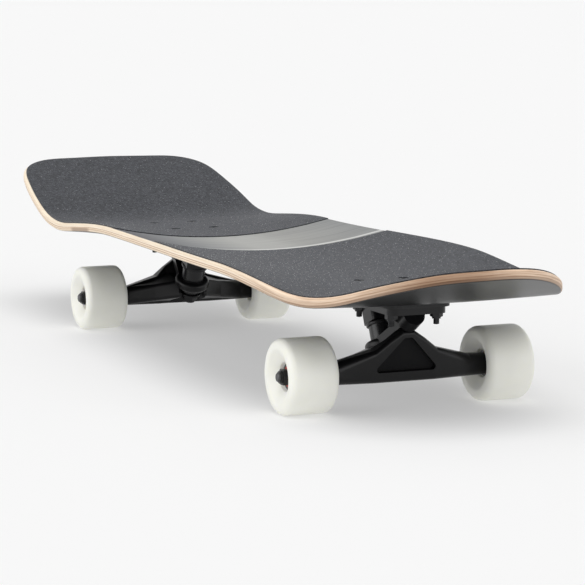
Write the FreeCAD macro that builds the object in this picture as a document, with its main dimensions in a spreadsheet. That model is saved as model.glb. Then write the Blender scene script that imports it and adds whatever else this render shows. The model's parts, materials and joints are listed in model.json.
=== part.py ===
import FreeCAD, Part
import math
import os
import Sketcher
from FreeCAD import Placement, Rotation, Vector

# A longboard skateboard standing on its four wheels.
# Millimetres. +X points to the nose, +Y to the left of a rider facing the nose, +Z up.
# The origin is on the ground under the middle of the deck's length.

DIMENSIONS = {
    # Deck: a pressed maple laminate with two kicks and a concave across its width.
    "nose_overhang": 168.0,
    "wheelbase": 525.0,
    "tail_overhang": 237.0,
    "deck_thickness": 8.5,
    "edge_round": 3.0,
    "sheet_half_width": 136.0,
    "sheet_spare": 6.0,
    "front_concave_depth": 12.5,
    "rear_concave_depth": 15.2,
    "concave_half_width": 120.0,
    "concave_fade": 112.0,
    "nose_kick_angle": 18.5,
    "nose_bend_outboard": 69.4,
    "tail_kick_angle": 18.1,
    "tail_bend_outboard": 66.8,
    "kick_bend_radius": 170.0,
    "kick_edge_bend_radius": 265.0,
    # Deck outline: the distance of each point from its end, its axle or the middle, and the half width there.
    "nose_bow_run": 7.0,
    "nose_bow_half": 40.5,
    "nose_cheek_run": 28.0,
    "nose_cheek_half": 68.0,
    "nose_flank_run": 70.0,
    "nose_flank_half": 98.0,
    "nose_neck_run": 125.0,
    "nose_neck_half": 116.0,
    "front_shoulder_inboard": 42.0,
    "front_shoulder_half": 122.9,
    "front_bulge_inboard": 137.0,
    "front_bulge_half": 127.3,
    "front_waist_inboard": 257.0,
    "front_waist_half": 122.8,
    "waist_behind_middle": 85.0,
    "waist_half": 117.4,
    "rear_bulge_inboard": 8.0,
    "rear_bulge_half": 118.7,
    "tail_neck_run": 165.0,
    "tail_neck_half": 119.3,
    "tail_hip_run": 105.0,
    "tail_hip_half": 118.1,
    "tail_cheek_run": 60.0,
    "tail_cheek_half": 113.6,
    "tail_corner_run": 22.0,
    "tail_corner_half": 101.5,
    "tail_bow_run": 6.0,
    "tail_bow_half": 79.0,
    "tail_blunt_run": 1.8,
    "tail_blunt_half": 46.0,
    # Grip tape: two sheets with a bare band of deck between them.
    "grip_thickness": 0.9,
    "grip_glue": 0.05,
    "grip_border": 0.2,
    "band_behind_middle": 46.0,
    "band_width": 130.0,
    # Where the trucks stand.
    "truck_height": 56.5,
    "riser_thickness": 5.0,
    # Truck bolts and their holes.
    "bolt_spacing_along": 63.5,
    "bolt_spacing_across": 41.3,
    "bolt_middle_inboard": 7.0,
    "bolt_radius": 2.4,
    "bolt_clearance": 0.2,
    "bolt_head_radius": 4.6,
    "bolt_head_rim": 0.5,
    "bolt_head_depth": 2.8,
    "bolt_head_lift": 0.3,
    "bolt_key_width": 3.2,
    "bolt_key_depth": 1.6,
    "bolt_tail": 4.5,
    "lock_nut_width": 9.5,
    "lock_nut_height": 4.0,
    "lock_nut_collar_radius": 3.7,
    "lock_nut_collar_height": 1.6,
    # Baseplate and riser pad.
    "plate_outboard": 36.5,
    "plate_inboard": 63.0,
    "plate_half_width": 26.5,
    "plate_thickness": 6.0,
    "plate_corner_round": 9.0,
    "riser_border": 3.5,
    "pivot_boss_radius": 9.6,
    "pivot_boss_wall": 3.5,
    "pivot_boss_height": 24.0,
    "pivot_flare_half_width": 18.0,
    "pivot_flare_low": -0.5,
    "pivot_flare_high": 5.5,
    "pivot_flare_round": 5.0,
    "kingpin_boss_half": 12.0,
    "kingpin_boss_round": 4.0,
    "kingpin_boss_height": 34.0,
    "plate_rib_half_width": 4.0,
    "plate_rib_depth": 3.0,
    "plate_rib_inboard": 36.0,
    "plate_rib_outboard": 16.0,
    # Steering geometry: the hanger turns on a line from its pivot pin through the middle of its ring.
    "steer_angle": 32.0,
    "kingpin_angle": 24.0,
    "ring_inboard": 30.0,
    "ring_height": 15.0,
    "pivot_mouth": 51.0,
    "pivot_depth": 8.5,
    "pivot_pin_radius": 5.6,
    "pivot_pin_root": 34.0,
    "pivot_play": 0.3,
    "pivot_cup_wall": 1.6,
    "pivot_cup_slip": 0.05,
    # Hanger casting.
    "hanger_half_width": 77.5,
    "hanger_end_half": 9.2,
    "hanger_end_round": 8.2,
    "hanger_tube_start": 62.0,
    "hanger_tube_half": 9.6,
    "hanger_round": 4.0,
    "web_half_width": 5.0,
    "web_face_reach": 16.5,
    "web_face_height": 34.5,
    "web_back_reach": 4.0,
    "web_back_height": 36.0,
    "web_flank_half_width": 17.0,
    "web_flank_height": 27.0,
    "web_foot_half_width": 28.0,
    "web_foot_height": 18.5,
    "web_foot_back": 4.0,
    "wing_half_width": 15.0,
    "wing_low_reach": 34.0,
    "wing_low_height": 0.0,
    "wing_top_reach": 28.0,
    "wing_top_height": 16.0,
    "wing_root_height": 22.0,
    "wing_flank_half_width": 36.0,
    "wing_flank_reach": 19.0,
    "wing_flank_low": -4.0,
    "wing_flank_top": 12.0,
    "wing_flank_root": 15.0,
    "pocket_depth": 5.0,
    "pocket_half_width": 31.0,
    "pocket_top_half_width": 3.5,
    "pocket_low": 9.0,
    "pocket_high": 38.5,
    "pocket_round": 3.0,
    "ring_radius": 17.5,
    "ring_thickness": 10.0,
    "ring_bore_radius": 9.0,
    "seat_radius": 11.8,
    "seat_depth": 1.5,
    "spine_half_width": 12.0,
    "spine_tip_half_width": 6.5,
    "spine_thickness": 7.5,
    "spine_gap": 1.2,
    "stack_room_radius": 12.6,
    "stack_room_angle": 15.0,
    "stack_room_height": 34.0,
    "stack_room_outboard": 12.2,
    # Kingpin stack.
    "kingpin_radius": 4.75,
    "kingpin_fit": 0.1,
    "kingpin_head_width": 14.3,
    "kingpin_head_height": 6.0,
    "kingpin_head_room": 0.3,
    "kingpin_seat_wall": 10.5,
    "kingpin_tail": 1.0,
    "upper_bushing_radius": 11.5,
    "upper_bushing_height": 16.5,
    "lower_bushing_radius": 11.3,
    "lower_bushing_tip_radius": 8.6,
    "lower_bushing_height": 8.5,
    "bushing_round": 1.2,
    "bushing_spigot_radius": 8.4,
    "bushing_spigot_height": 2.0,
    "upper_washer_radius": 13.2,
    "lower_washer_radius": 10.4,
    "washer_thickness": 1.6,
    "washer_lip": 1.4,
    "washer_lip_room": 0.2,
    "kingpin_nut_height": 6.0,
    "kingpin_nut_collar_radius": 6.4,
    "kingpin_nut_collar_height": 2.2,
    # Axle and wheel stack.
    "axle_radius": 3.97,
    "axle_tail": 2.2,
    "axle_end_bevel": 0.8,
    "speed_washer_radius": 5.6,
    "speed_washer_thickness": 1.0,
    "axle_nut_width": 12.7,
    "axle_nut_height": 5.0,
    "axle_nut_collar_radius": 5.3,
    "axle_nut_collar_height": 1.8,
    "nut_bevel": 0.7,
    "wheel_diameter": 64.0,
    "wheel_width": 43.5,
    "wheel_lip_round": 6.0,
    "wheel_face_radius": 23.0,
    "wheel_mouth_radius": 12.4,
    "wheel_dish_depth": 7.0,
    "wheel_core_radius": 8.5,
    # Ball bearings.
    "bearing_bore_radius": 4.0,
    "bearing_outer_radius": 11.0,
    "bearing_width": 7.0,
    "bearing_spacing": 10.0,
    "inner_ring_radius": 6.0,
    "outer_ring_bore_radius": 9.1,
    "ball_radius": 1.98,
    "ball_play": 0.07,
    "ball_circle_radius": 7.55,
    "cage_inner_radius": 6.6,
    "cage_outer_radius": 8.5,
    "cage_rail": 0.5,
    "cage_finger": 0.3,
    "shield_gap": 0.35,
    "shield_thickness": 0.5,
    "shield_recess": 0.25,
    "spacer_radius": 5.4,
    # Play left between pieces that slide together on assembly.
    "slip": 0.05,
}
BALLS_PER_BEARING = 7
DECK_STATIONS = 62
DECK_RAILS = 5

doc = FreeCAD.newDocument("longboard")
sheet = doc.addObject("Spreadsheet::Sheet", "dims")
for row, (alias, number) in enumerate(DIMENSIONS.items(), start=1):
    sheet.set(f"A{row}", alias)
    sheet.set(f"B{row}", str(number))
    sheet.setAlias(f"B{row}", alias)
doc.recompute()


class Size:
    """A size that carries its value and the sheet expression that it comes from."""

    def __init__(self, value, text):
        self.value = float(value)
        self.text = text

    def join(self, other, sign, value):
        return Size(value, f"({self.text} {sign} {other.text})")

    def __add__(self, other):
        other = as_size(other)
        return self.join(other, "+", self.value + other.value)

    def __sub__(self, other):
        other = as_size(other)
        return self.join(other, "-", self.value - other.value)

    def __mul__(self, other):
        other = as_size(other)
        return self.join(other, "*", self.value * other.value)

    def __truediv__(self, other):
        other = as_size(other)
        return self.join(other, "/", self.value / other.value)

    def __neg__(self):
        return Size(-self.value, f"(-{self.text})")


def as_size(number):
    return number if isinstance(number, Size) else Size(number, f"({number})")


def size(alias):
    return Size(sheet.get(alias), f"dims.{alias}")


ZERO = as_size(0)
steer = size("steer_angle")
axle_height = size("wheel_diameter") / 2
plate_top = size("truck_height")
plate_bottom = plate_top - size("plate_thickness")
deck_bottom = axle_height + plate_top + size("riser_thickness")
deck_top = deck_bottom + size("deck_thickness")
nose_end = (size("nose_overhang") + size("wheelbase") + size("tail_overhang")) / 2
front_axle = nose_end - size("nose_overhang")
rear_axle = front_axle - size("wheelbase")
bearing_inner_face = size("bearing_spacing") / 2
bearing_outer_face = bearing_inner_face + size("bearing_width")
bearing_middle = bearing_inner_face + size("bearing_width") / 2
wheel_middle = size("hanger_half_width") + size("speed_washer_thickness") + bearing_outer_face

# The stack along the kingpin, measured up from the middle of the hanger's ring.
ring_half = size("ring_thickness") / 2
upper_seat = ring_half - size("seat_depth")
upper_washer_at = upper_seat + size("upper_bushing_height")
boss_at = upper_washer_at + size("washer_thickness")
head_at = boss_at + size("kingpin_seat_wall")
lower_seat = -upper_seat
lower_washer_at = lower_seat - size("lower_bushing_height")
kingpin_nut_at = lower_washer_at - size("washer_thickness")
kingpin_end = kingpin_nut_at - size("kingpin_nut_height") - size("kingpin_nut_collar_height")
kingpin_end = kingpin_end - size("kingpin_tail")
kingpin_bore = size("kingpin_radius") + size("kingpin_fit")

# Two frames stand in the middle of the hanger's ring. The steering frame has its X along the line that the
# hanger turns on. The kingpin frame has its Z up the kingpin.
RING_MIDDLE = Vector(-size("ring_inboard").value, 0, size("ring_height").value)
STEERING = Placement(RING_MIDDLE, Rotation(Vector(0, 1, 0), -steer.value))
KINGPIN = Placement(RING_MIDDLE, Rotation(Vector(0, 1, 0), -size("kingpin_angle").value))
ALONG_X = Rotation(Vector(0, 1, 0), 90)
ALONG_Y = Rotation(Vector(1, 0, 0), -90)
DOWN = Rotation(Vector(1, 0, 0), 180)
ACROSS = Rotation(Vector(0, 1, 0), Vector(0, 0, 1), Vector(1, 0, 0), "XYZ")


def at(x=ZERO, y=ZERO, z=ZERO, rotation=None, frame=None):
    """A place in the frame of the piece, or in another frame that stands in it."""
    place = Placement(Vector(x.value, y.value, z.value), rotation or Rotation())
    return frame.multiply(place) if frame else place


def bind(feature, **sizes):
    for name, amount in sizes.items():
        setattr(feature, name, amount.value)
        feature.setExpression(name, amount.text)


def solid(kind, name, place=None, **sizes):
    """A primitive solid with its sizes bound to the sheet."""
    feature = doc.addObject(f"Part::{kind}", name)
    bind(feature, **sizes)
    feature.Placement = place or Placement()
    return feature


def block(name, low, high, frame=None):
    """A box between two opposite corners."""
    spans = [top - bottom for bottom, top in zip(low, high)]
    return solid("Box", name, at(*low, frame=frame), Length=spans[0], Width=spans[1], Height=spans[2])


def joined(name, pieces):
    feature = doc.addObject("Part::MultiFuse", name)
    feature.Shapes = pieces
    feature.Refine = True
    return feature


def shared(name, pieces):
    feature = doc.addObject("Part::MultiCommon", name)
    feature.Shapes = pieces
    return feature


def bundle(name, pieces, place=None):
    feature = doc.addObject("Part::Compound", name)
    feature.Links = pieces
    feature.Placement = place or Placement()
    return feature


def carved(name, base, tools):
    """The base less all the tools."""
    feature = doc.addObject("Part::Cut", name)
    feature.Base = base
    feature.Tool = tools[0] if len(tools) == 1 else joined(f"{name}_tools", tools)
    feature.Refine = True
    return feature


def mirrored(name, source, normal):
    feature = doc.addObject("Part::Mirroring", name)
    feature.Source = source
    feature.Normal = normal
    return feature


def pin_down(sketch, geometry, point, corner):
    """Hold a sketch point at its two sheet sizes."""
    for kind, amount in (("DistanceX", corner[0]), ("DistanceY", corner[1])):
        if amount is ZERO:
            axis = -2 if kind == "DistanceX" else -1
            sketch.addConstraint(Sketcher.Constraint("PointOnObject", geometry, point, axis))
            continue
        number = sketch.addConstraint(Sketcher.Constraint(kind, -1, 1, geometry, point, amount.value))
        sketch.setExpression(f"Constraints[{number}]", amount.text)


def draw(sketch, corners):
    """Draw a closed outline; each corner is (across, up) or (across, up, rounding radius)."""
    count = len(corners)
    points = [Vector(corner[0].value, corner[1].value, 0) for corner in corners]
    arrive = []
    leave = []
    turns = []
    for i, corner in enumerate(corners):
        before = (points[i - 1] - points[i]).normalize()
        after = (points[(i + 1) % count] - points[i]).normalize()
        reach = corner[2].value / math.tan(before.getAngle(after) / 2) if len(corner) == 3 else 0
        arrive.append(points[i] + before * reach)
        leave.append(points[i] + after * reach)
        turns.append((before, after))
    lines = []
    for i in range(count):
        lines.append(sketch.addGeometry(Part.LineSegment(leave[i], arrive[(i + 1) % count])))
    for i, corner in enumerate(corners):
        line_in = lines[i - 1]
        line_out = lines[i]
        if len(corner) == 2:
            sketch.addConstraint(Sketcher.Constraint("Coincident", line_in, 2, line_out, 1))
            pin_down(sketch, line_out, 1, corner)
            continue
        before, after = turns[i]
        radius = corner[2]
        inward = (before + after).normalize()
        centre = points[i] + inward * (radius.value / math.sin(before.getAngle(after) / 2))
        arc = sketch.addGeometry(Part.Arc(arrive[i], centre - inward * radius.value, leave[i]))
        left_turn = before.cross(after).z < 0
        first, last = (1, 2) if left_turn else (2, 1)
        mark = sketch.addGeometry(Part.Point(points[i]), True)
        pin_down(sketch, mark, 1, corner)
        sketch.addConstraint(Sketcher.Constraint("PointOnObject", mark, 1, line_in))
        sketch.addConstraint(Sketcher.Constraint("PointOnObject", mark, 1, line_out))
        sketch.addConstraint(Sketcher.Constraint("Tangent", line_in, 2, arc, first))
        sketch.addConstraint(Sketcher.Constraint("Tangent", line_out, 1, arc, last))
        number = sketch.addConstraint(Sketcher.Constraint("Radius", arc, radius.value))
        sketch.setExpression(f"Constraints[{number}]", radius.text)
    return sketch


def body_sketch(body, role, corners):
    """A sketch on one of the body's own origin planes."""
    sketch = body.newObject("Sketcher::SketchObject", f"{body.Name}_outline")
    plane = [item for item in body.Origin.OriginFeatures if item.Role == role][0]
    sketch.AttachmentSupport = (plane, [""])
    sketch.MapMode = "FlatFace"
    return draw(sketch, corners)


def turned(name, corners, place=None):
    """A body turned about its own Z from an outline of (radius, height) corners."""
    body = doc.addObject("PartDesign::Body", name)
    sketch = body_sketch(body, "XZ_Plane", corners)
    turn = body.newObject("PartDesign::Revolution", f"{name}_turn")
    turn.Profile = sketch
    turn.ReferenceAxis = (sketch, ["V_Axis"])
    turn.Angle = 360
    body.Placement = place or Placement()
    return body


def plate(name, corners, thickness, place=None):
    """A body padded up from its XY plane."""
    body = doc.addObject("PartDesign::Body", name)
    sketch = body_sketch(body, "XY_Plane", corners)
    pad = body.newObject("PartDesign::Pad", f"{name}_pad")
    pad.Profile = sketch
    bind(pad, Length=thickness)
    body.Placement = place or Placement()
    return body


def rectangle(low_x, high_x, half_y, rounding):
    return [
        (low_x, -half_y, rounding),
        (high_x, -half_y, rounding),
        (high_x, half_y, rounding),
        (low_x, half_y, rounding),
    ]


def section(name, y, corners):
    """A hanger section: an outline in a plane across the axle, y to the side of the middle."""
    sketch = doc.addObject("Sketcher::SketchObject", name)
    sketch.Placement = at(ZERO, y, ZERO, Rotation(Vector(1, 0, 0), 90))
    sketch.setExpression("Placement.Base.y", y.text)
    return draw(sketch, corners)


def skin(name, stations):
    """A solid with straight rulings between neighbouring sections, each given by its y and its corners."""
    sections = [section(f"{name}_section_{i}", y, corners) for i, (y, corners) in enumerate(stations)]
    feature = doc.addObject("Part::Loft", name)
    feature.Sections = sections
    feature.Solid = True
    feature.Ruled = True
    return feature


def hex_radius(width):
    """The corner radius of a hexagon from its width across the flats."""
    return width * round(1 / math.sqrt(3), 6)


def ring(name, inner, outer, low, high, place=None):
    return turned(name, [(inner, low), (outer, low), (outer, high), (inner, high)], place)


def lock_nut(name, width, height, collar_radius, collar_height, bore):
    """A hexagon nut with bevelled corners and a round locking collar, standing on its Z = 0 face."""
    corner = hex_radius(width)
    bevel = size("nut_bevel")
    prism = solid("Prism", f"{name}_prism", Circumradius=corner, Height=height)
    prism.Polygon = 6
    barrel = turned(f"{name}_barrel", [
        (ZERO, ZERO), (corner - bevel, ZERO), (corner, bevel / 2), (corner, height - bevel / 2),
        (corner - bevel, height), (ZERO, height),
    ])
    collar = solid("Cylinder", f"{name}_collar", Radius=collar_radius, Height=height + collar_height)
    hole = solid("Cylinder", f"{name}_hole", Radius=bore, Height=height + collar_height)
    return carved(name, joined(f"{name}_blank", [shared(f"{name}_hexagon", [prism, barrel]), collar]), [hole])


# Deck: the top surface follows a formula along and across the board.
def smooth_step(t):
    t = min(1.0, max(0.0, t))
    return t * t * (3 - 2 * t)


def kick_rise(run, angle, radius):
    """Rise of a kick at a run past its bend corner; the bend is an arc tangent to flat and kick."""
    reach = radius * math.tan(angle / 2)
    if run <= -reach:
        return 0.0
    if run >= reach * math.cos(angle):
        return run * math.tan(angle)
    return radius - math.sqrt(radius ** 2 - (run + reach) ** 2)


def top_height(x, y):
    nose_run = x - front_axle.value - size("nose_bend_outboard").value
    tail_run = rear_axle.value - size("tail_bend_outboard").value - x
    side = (y / size("concave_half_width").value) ** 2
    middle_bend = size("kick_bend_radius").value
    bend = middle_bend + (size("kick_edge_bend_radius").value - middle_bend) * side
    rise = kick_rise(nose_run, math.radians(size("nose_kick_angle").value), bend)
    rise += kick_rise(tail_run, math.radians(size("tail_kick_angle").value), bend)
    fade = size("concave_fade").value
    front = smooth_step((front_axle.value + fade - x) / (2 * fade))
    rear = smooth_step((x - rear_axle.value + fade) / (2 * fade))
    share = (x - rear_axle.value) / size("wheelbase").value
    rear_depth = size("rear_concave_depth").value
    depth = rear_depth + (size("front_concave_depth").value - rear_depth) * share
    return deck_top.value + rise + depth * front * rear * side


sheet_end = nose_end.value + size("sheet_spare").value
sheet_side = size("sheet_half_width").value
grid = []
for i in range(DECK_STATIONS):
    x = -sheet_end + 2 * sheet_end * i / (DECK_STATIONS - 1)
    rails = [-sheet_side + 2 * sheet_side * j / (DECK_RAILS - 1) for j in range(DECK_RAILS)]
    grid.append([Vector(x, y, top_height(x, y)) for y in rails])
top_surface = Part.BSplineSurface()
top_surface.interpolate(grid)
top_face = doc.addObject("Part::Feature", "deck_top_face")
top_face.Shape = top_surface.toShape()


def thickened(name, up, amount):
    """The deck's top face thickened straight up or down."""
    feature = doc.addObject("Part::Extrusion", name)
    feature.Base = top_face
    feature.DirMode = "Custom"
    feature.Dir = Vector(0, 0, 1 if up else -1)
    feature.Solid = True
    bind(feature, LengthFwd=amount)
    return feature


def end_point(end, name):
    """An outline point by its run in from the nose (+1) or the tail (-1)."""
    run = size(f"{name}_run").value
    return (end * (nose_end.value - run), size(f"{name}_half").value)


left_side = [
    end_point(1, "nose_bow"),
    end_point(1, "nose_cheek"),
    end_point(1, "nose_flank"),
    end_point(1, "nose_neck"),
    (front_axle.value - size("front_shoulder_inboard").value, size("front_shoulder_half").value),
    (front_axle.value - size("front_bulge_inboard").value, size("front_bulge_half").value),
    (front_axle.value - size("front_waist_inboard").value, size("front_waist_half").value),
    (-size("waist_behind_middle").value, size("waist_half").value),
    (rear_axle.value + size("rear_bulge_inboard").value, size("rear_bulge_half").value),
    end_point(-1, "tail_neck"),
    end_point(-1, "tail_hip"),
    end_point(-1, "tail_cheek"),
    end_point(-1, "tail_corner"),
    end_point(-1, "tail_bow"),
    end_point(-1, "tail_blunt"),
]
loop = [Vector(nose_end.value, 0, 0)]
loop += [Vector(x, y, 0) for x, y in left_side]
loop += [Vector(-nose_end.value, 0, 0)]
loop += [Vector(x, -y, 0) for x, y in reversed(left_side)]
outline_curve = Part.BSplineCurve()
outline_curve.interpolate(Points=loop, PeriodicFlag=True)
outline = doc.addObject("Part::Feature", "deck_outline")
outline.Shape = Part.Wire(outline_curve.toShape())
grip_inset = size("edge_round").value + size("grip_border").value
grip_loop = []
for point in loop:
    forward = outline_curve.tangent(outline_curve.parameter(point))[0]
    grip_loop.append(point + Vector(-forward.y, forward.x, 0) * grip_inset)
grip_curve = Part.BSplineCurve()
grip_curve.interpolate(Points=grip_loop, PeriodicFlag=True)
grip_outline = doc.addObject("Part::Feature", "grip_outline")
grip_outline.Shape = Part.Wire(grip_curve.toShape())


def upright(name, base):
    """A tall prism over a flat outline."""
    feature = doc.addObject("Part::Extrusion", name)
    feature.Base = base
    feature.DirMode = "Custom"
    feature.Dir = Vector(0, 0, 1)
    feature.Solid = True
    bind(feature, LengthFwd=deck_top * 2)
    return feature


def bolt_profile(side, head_side, bottom):
    """Half outline of a countersunk bolt from its head's top down, grown sideways by its clearances."""
    head = size("bolt_head_radius") + head_side
    shank = size("bolt_radius") + side
    rim = -size("bolt_head_rim")
    cone = -size("bolt_head_depth")
    return [(ZERO, bottom), (shank, bottom), (shank, cone), (head, rim), (head, ZERO), (ZERO, ZERO)]


bolt_top = deck_top + size("bolt_head_lift")
bolt_length = bolt_top - axle_height - plate_bottom
bolt_length = bolt_length + size("lock_nut_height") + size("lock_nut_collar_height") + size("bolt_tail")
bolt_hole_radius = size("bolt_radius") + size("bolt_clearance")
bolt_spots = []
for along in (-1, 1):
    for across in (-1, 1):
        spot_x = size("bolt_spacing_along") * along / 2 - size("bolt_middle_inboard")
        bolt_spots.append((spot_x, size("bolt_spacing_across") * across / 2))


def truck_frame(end):
    """Place of the axle's middle; the truck's own +X always points off the board's end."""
    if end == "front":
        return Placement(Vector(front_axle.value, 0, axle_height.value), Rotation())
    return Placement(Vector(rear_axle.value, 0, axle_height.value), Rotation(Vector(0, 0, 1), 180))


ENDS = ("front", "rear")
bolt_hole = turned("deck_bolt_hole", bolt_profile(size("bolt_clearance"), size("slip"), -bolt_length))
grip_hole = solid("Cylinder", "grip_bolt_hole", Radius=size("bolt_head_radius") + size("slip") * 4,
                  Height=deck_top)


def spread(name, master, spots, z, rotation=None):
    """Copies of a master at every bolt spot of a truck."""
    copies = []
    for number, (x, y) in enumerate(spots):
        copies.append(bundle(f"{name}_{number}", [master], at(x, y, z, rotation)))
    return bundle(name, copies)


truck_bolt_holes = spread("truck_bolt_holes", bolt_hole, bolt_spots, bolt_top - axle_height)
truck_grip_holes = spread("truck_grip_holes", grip_hole, bolt_spots, plate_top)
deck_holes = [bundle(f"{end}_deck_holes", [truck_bolt_holes], truck_frame(end)) for end in ENDS]
grip_holes = {end: bundle(f"{end}_grip_holes", [truck_grip_holes], truck_frame(end)) for end in ENDS}

deck_sheet = thickened("deck_sheet", False, size("deck_thickness"))
grip_sheet = thickened("grip_sheet", True, size("grip_thickness"))
deck_blank = shared("deck_blank", [deck_sheet, upright("deck_prism", outline)])
doc.recompute()
rounded_edges = [i for i, edge in enumerate(deck_blank.Shape.Edges, start=1) if edge.Length > nose_end.value]
edge_round = size("edge_round").value
deck_rounded = doc.addObject("Part::Fillet", "deck_rounded")
deck_rounded.Base = deck_blank
deck_rounded.Edges = [(i, edge_round, edge_round) for i in rounded_edges]
deck = carved("deck_drilled", deck_rounded, deck_holes)

band_half = size("band_width") / 2
band_front = band_half - size("band_behind_middle")
band_rear = -band_half - size("band_behind_middle")
room = nose_end + size("sheet_spare")
grip_rooms = {
    "front": block("front_grip_room", (band_front, -room, ZERO), (room, room, deck_top * 2)),
    "rear": block("rear_grip_room", (-room, -room, ZERO), (band_rear, room, deck_top * 2)),
}
grip_prism = upright("grip_prism", grip_outline)
grips = {}
for end in ENDS:
    grip_blank = shared(f"{end}_grip_blank", [grip_sheet, grip_prism, grip_rooms[end]])
    grips[end] = carved(f"{end}_grip_pierced", grip_blank, [grip_holes[end]])

# Truck masters, drawn with the axle's middle at the origin and +X off the board's end.
bolt = turned("deck_bolt_blank", bolt_profile(ZERO, ZERO, -bolt_length))
bolt_key = solid("Prism", "deck_bolt_key", at(z=-size("bolt_key_depth")),
                 Circumradius=hex_radius(size("bolt_key_width")), Height=size("bolt_key_depth"))
bolt_key.Polygon = 6
bolt = carved("deck_bolt", bolt, [bolt_key])
plate_nut = lock_nut("lock_nut", size("lock_nut_width"), size("lock_nut_height"),
                     size("lock_nut_collar_radius"), size("lock_nut_collar_height"),
                     size("bolt_radius") + size("slip"))
through_hole = solid("Cylinder", "plate_hole", Radius=bolt_hole_radius, Height=plate_top)
plate_holes = spread("plate_holes", through_hole, bolt_spots, plate_bottom - size("plate_thickness"))
riser_border = size("riser_border")
riser_blank = plate(
    "riser_blank",
    rectangle(-size("plate_inboard") - riser_border, size("plate_outboard") + riser_border,
              size("plate_half_width") + riser_border, size("plate_corner_round") + riser_border),
    size("riser_thickness"), at(z=plate_top))
riser = carved("riser", riser_blank, [plate_holes])

# Baseplate: a bolted plate with a boss for the kingpin and a boss for the pivot cup.
plate_blank = plate(
    "plate_blank",
    rectangle(-size("plate_inboard"), size("plate_outboard"), size("plate_half_width"),
              size("plate_corner_round")),
    size("plate_thickness"), at(z=plate_bottom))
cup_radius = size("pivot_pin_radius") + size("pivot_play") + size("pivot_cup_wall")
cup_depth = size("pivot_depth") + size("pivot_play") + size("pivot_cup_wall")
cup_seat = cup_radius + size("pivot_cup_slip")
boss_length = cup_depth + size("pivot_boss_wall")
boss_half = size("pivot_boss_radius")
pivot_boss = solid("Cylinder", "pivot_boss", at(size("pivot_mouth"), rotation=ALONG_X, frame=STEERING),
                   Radius=boss_half, Height=boss_length)
flare = size("pivot_flare_half_width")
boss_side = boss_half * round(math.cos(math.radians(20)), 6)
boss_low = -boss_half * round(math.sin(math.radians(20)), 6)
flare_low = size("pivot_flare_low")
flare_high = size("pivot_flare_high")
flare_round = size("pivot_flare_round")
pivot_wall = plate("pivot_wall", [
    (-boss_side, boss_low), (boss_side, boss_low), (boss_half, flare_low, flare_round), (flare, flare_high),
    (flare, size("pivot_boss_height")), (-flare, size("pivot_boss_height")), (-flare, flare_high),
    (-boss_half, flare_low, flare_round),
], boss_length, at(size("pivot_mouth"), rotation=ACROSS, frame=STEERING))
boss_block = size("kingpin_boss_half")
boss_corners = rectangle(-boss_block, boss_block, boss_block, size("kingpin_boss_round"))
kingpin_boss = plate("kingpin_boss", boss_corners, size("kingpin_boss_height"), at(z=boss_at, frame=KINGPIN))
rib_half = size("plate_rib_half_width")
rib = block("plate_rib", (-size("plate_rib_inboard"), -rib_half, plate_bottom - size("plate_rib_depth")),
            (size("plate_rib_outboard"), rib_half, plate_bottom))
plate_reach = size("plate_inboard") + size("plate_outboard")
above_plate = block("above_plate", (-plate_reach, -plate_reach, plate_top),
                    (plate_reach, plate_reach, plate_top * 2))
cup_room = solid("Cylinder", "pivot_cup_room", at(size("pivot_mouth"), rotation=ALONG_X, frame=STEERING),
                 Radius=cup_seat, Height=cup_depth)
kingpin_hole = solid("Cylinder", "kingpin_hole", at(z=boss_at, frame=KINGPIN),
                     Radius=kingpin_bore, Height=size("kingpin_seat_wall"))
head_room = solid("Cylinder", "kingpin_head_room", at(z=head_at, frame=KINGPIN),
                  Radius=hex_radius(size("kingpin_head_width")) + size("kingpin_head_room"),
                  Height=size("kingpin_boss_height"))
baseplate_blank = joined("baseplate_blank", [plate_blank, pivot_boss, pivot_wall, kingpin_boss, rib])
baseplate = carved("baseplate", baseplate_blank,
                   [above_plate, cup_room, kingpin_hole, head_room, plate_holes])

# Pivot cup, kingpin, bushings and washers, in the steering frame.
pin_radius = size("pivot_pin_radius")
pocket_radius = pin_radius + size("pivot_play")
pocket_end = size("pivot_depth") + size("pivot_play")
pivot_cup = turned("pivot_cup", [
    (ZERO, pocket_end), (pocket_radius, pocket_end, pin_radius), (pocket_radius, ZERO), (cup_radius, ZERO),
    (cup_radius, cup_depth), (ZERO, cup_depth),
], at(size("pivot_mouth"), rotation=ALONG_X, frame=STEERING))
kingpin_shank = turned("kingpin_shank", [
    (ZERO, kingpin_end), (size("kingpin_radius") - size("axle_end_bevel"), kingpin_end),
    (size("kingpin_radius"), kingpin_end + size("axle_end_bevel")), (size("kingpin_radius"), head_at),
    (ZERO, head_at),
], KINGPIN)
kingpin_head = solid("Prism", "kingpin_head", at(z=head_at, frame=KINGPIN),
                     Circumradius=hex_radius(size("kingpin_head_width")), Height=size("kingpin_head_height"))
kingpin_head.Polygon = 6
kingpin = joined("kingpin", [kingpin_shank, kingpin_head])
kingpin_nut = bundle("kingpin_nut", [
    lock_nut("kingpin_hexagon_nut", size("kingpin_head_width"), size("kingpin_nut_height"),
             size("kingpin_nut_collar_radius"), size("kingpin_nut_collar_height"),
             size("kingpin_radius") + size("slip")),
], at(z=kingpin_nut_at, rotation=DOWN, frame=KINGPIN))
spigot = size("bushing_spigot_radius")
bushing_round = size("bushing_round")
upper_spigot_end = upper_seat - size("bushing_spigot_height")
upper_bushing = turned("upper_bushing", [
    (kingpin_bore, upper_spigot_end), (spigot, upper_spigot_end),
    (spigot, upper_seat), (size("upper_bushing_radius"), upper_seat, bushing_round),
    (size("upper_bushing_radius"), upper_washer_at, bushing_round), (kingpin_bore, upper_washer_at),
], KINGPIN)
lower_spigot_end = lower_seat + size("bushing_spigot_height")
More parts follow.
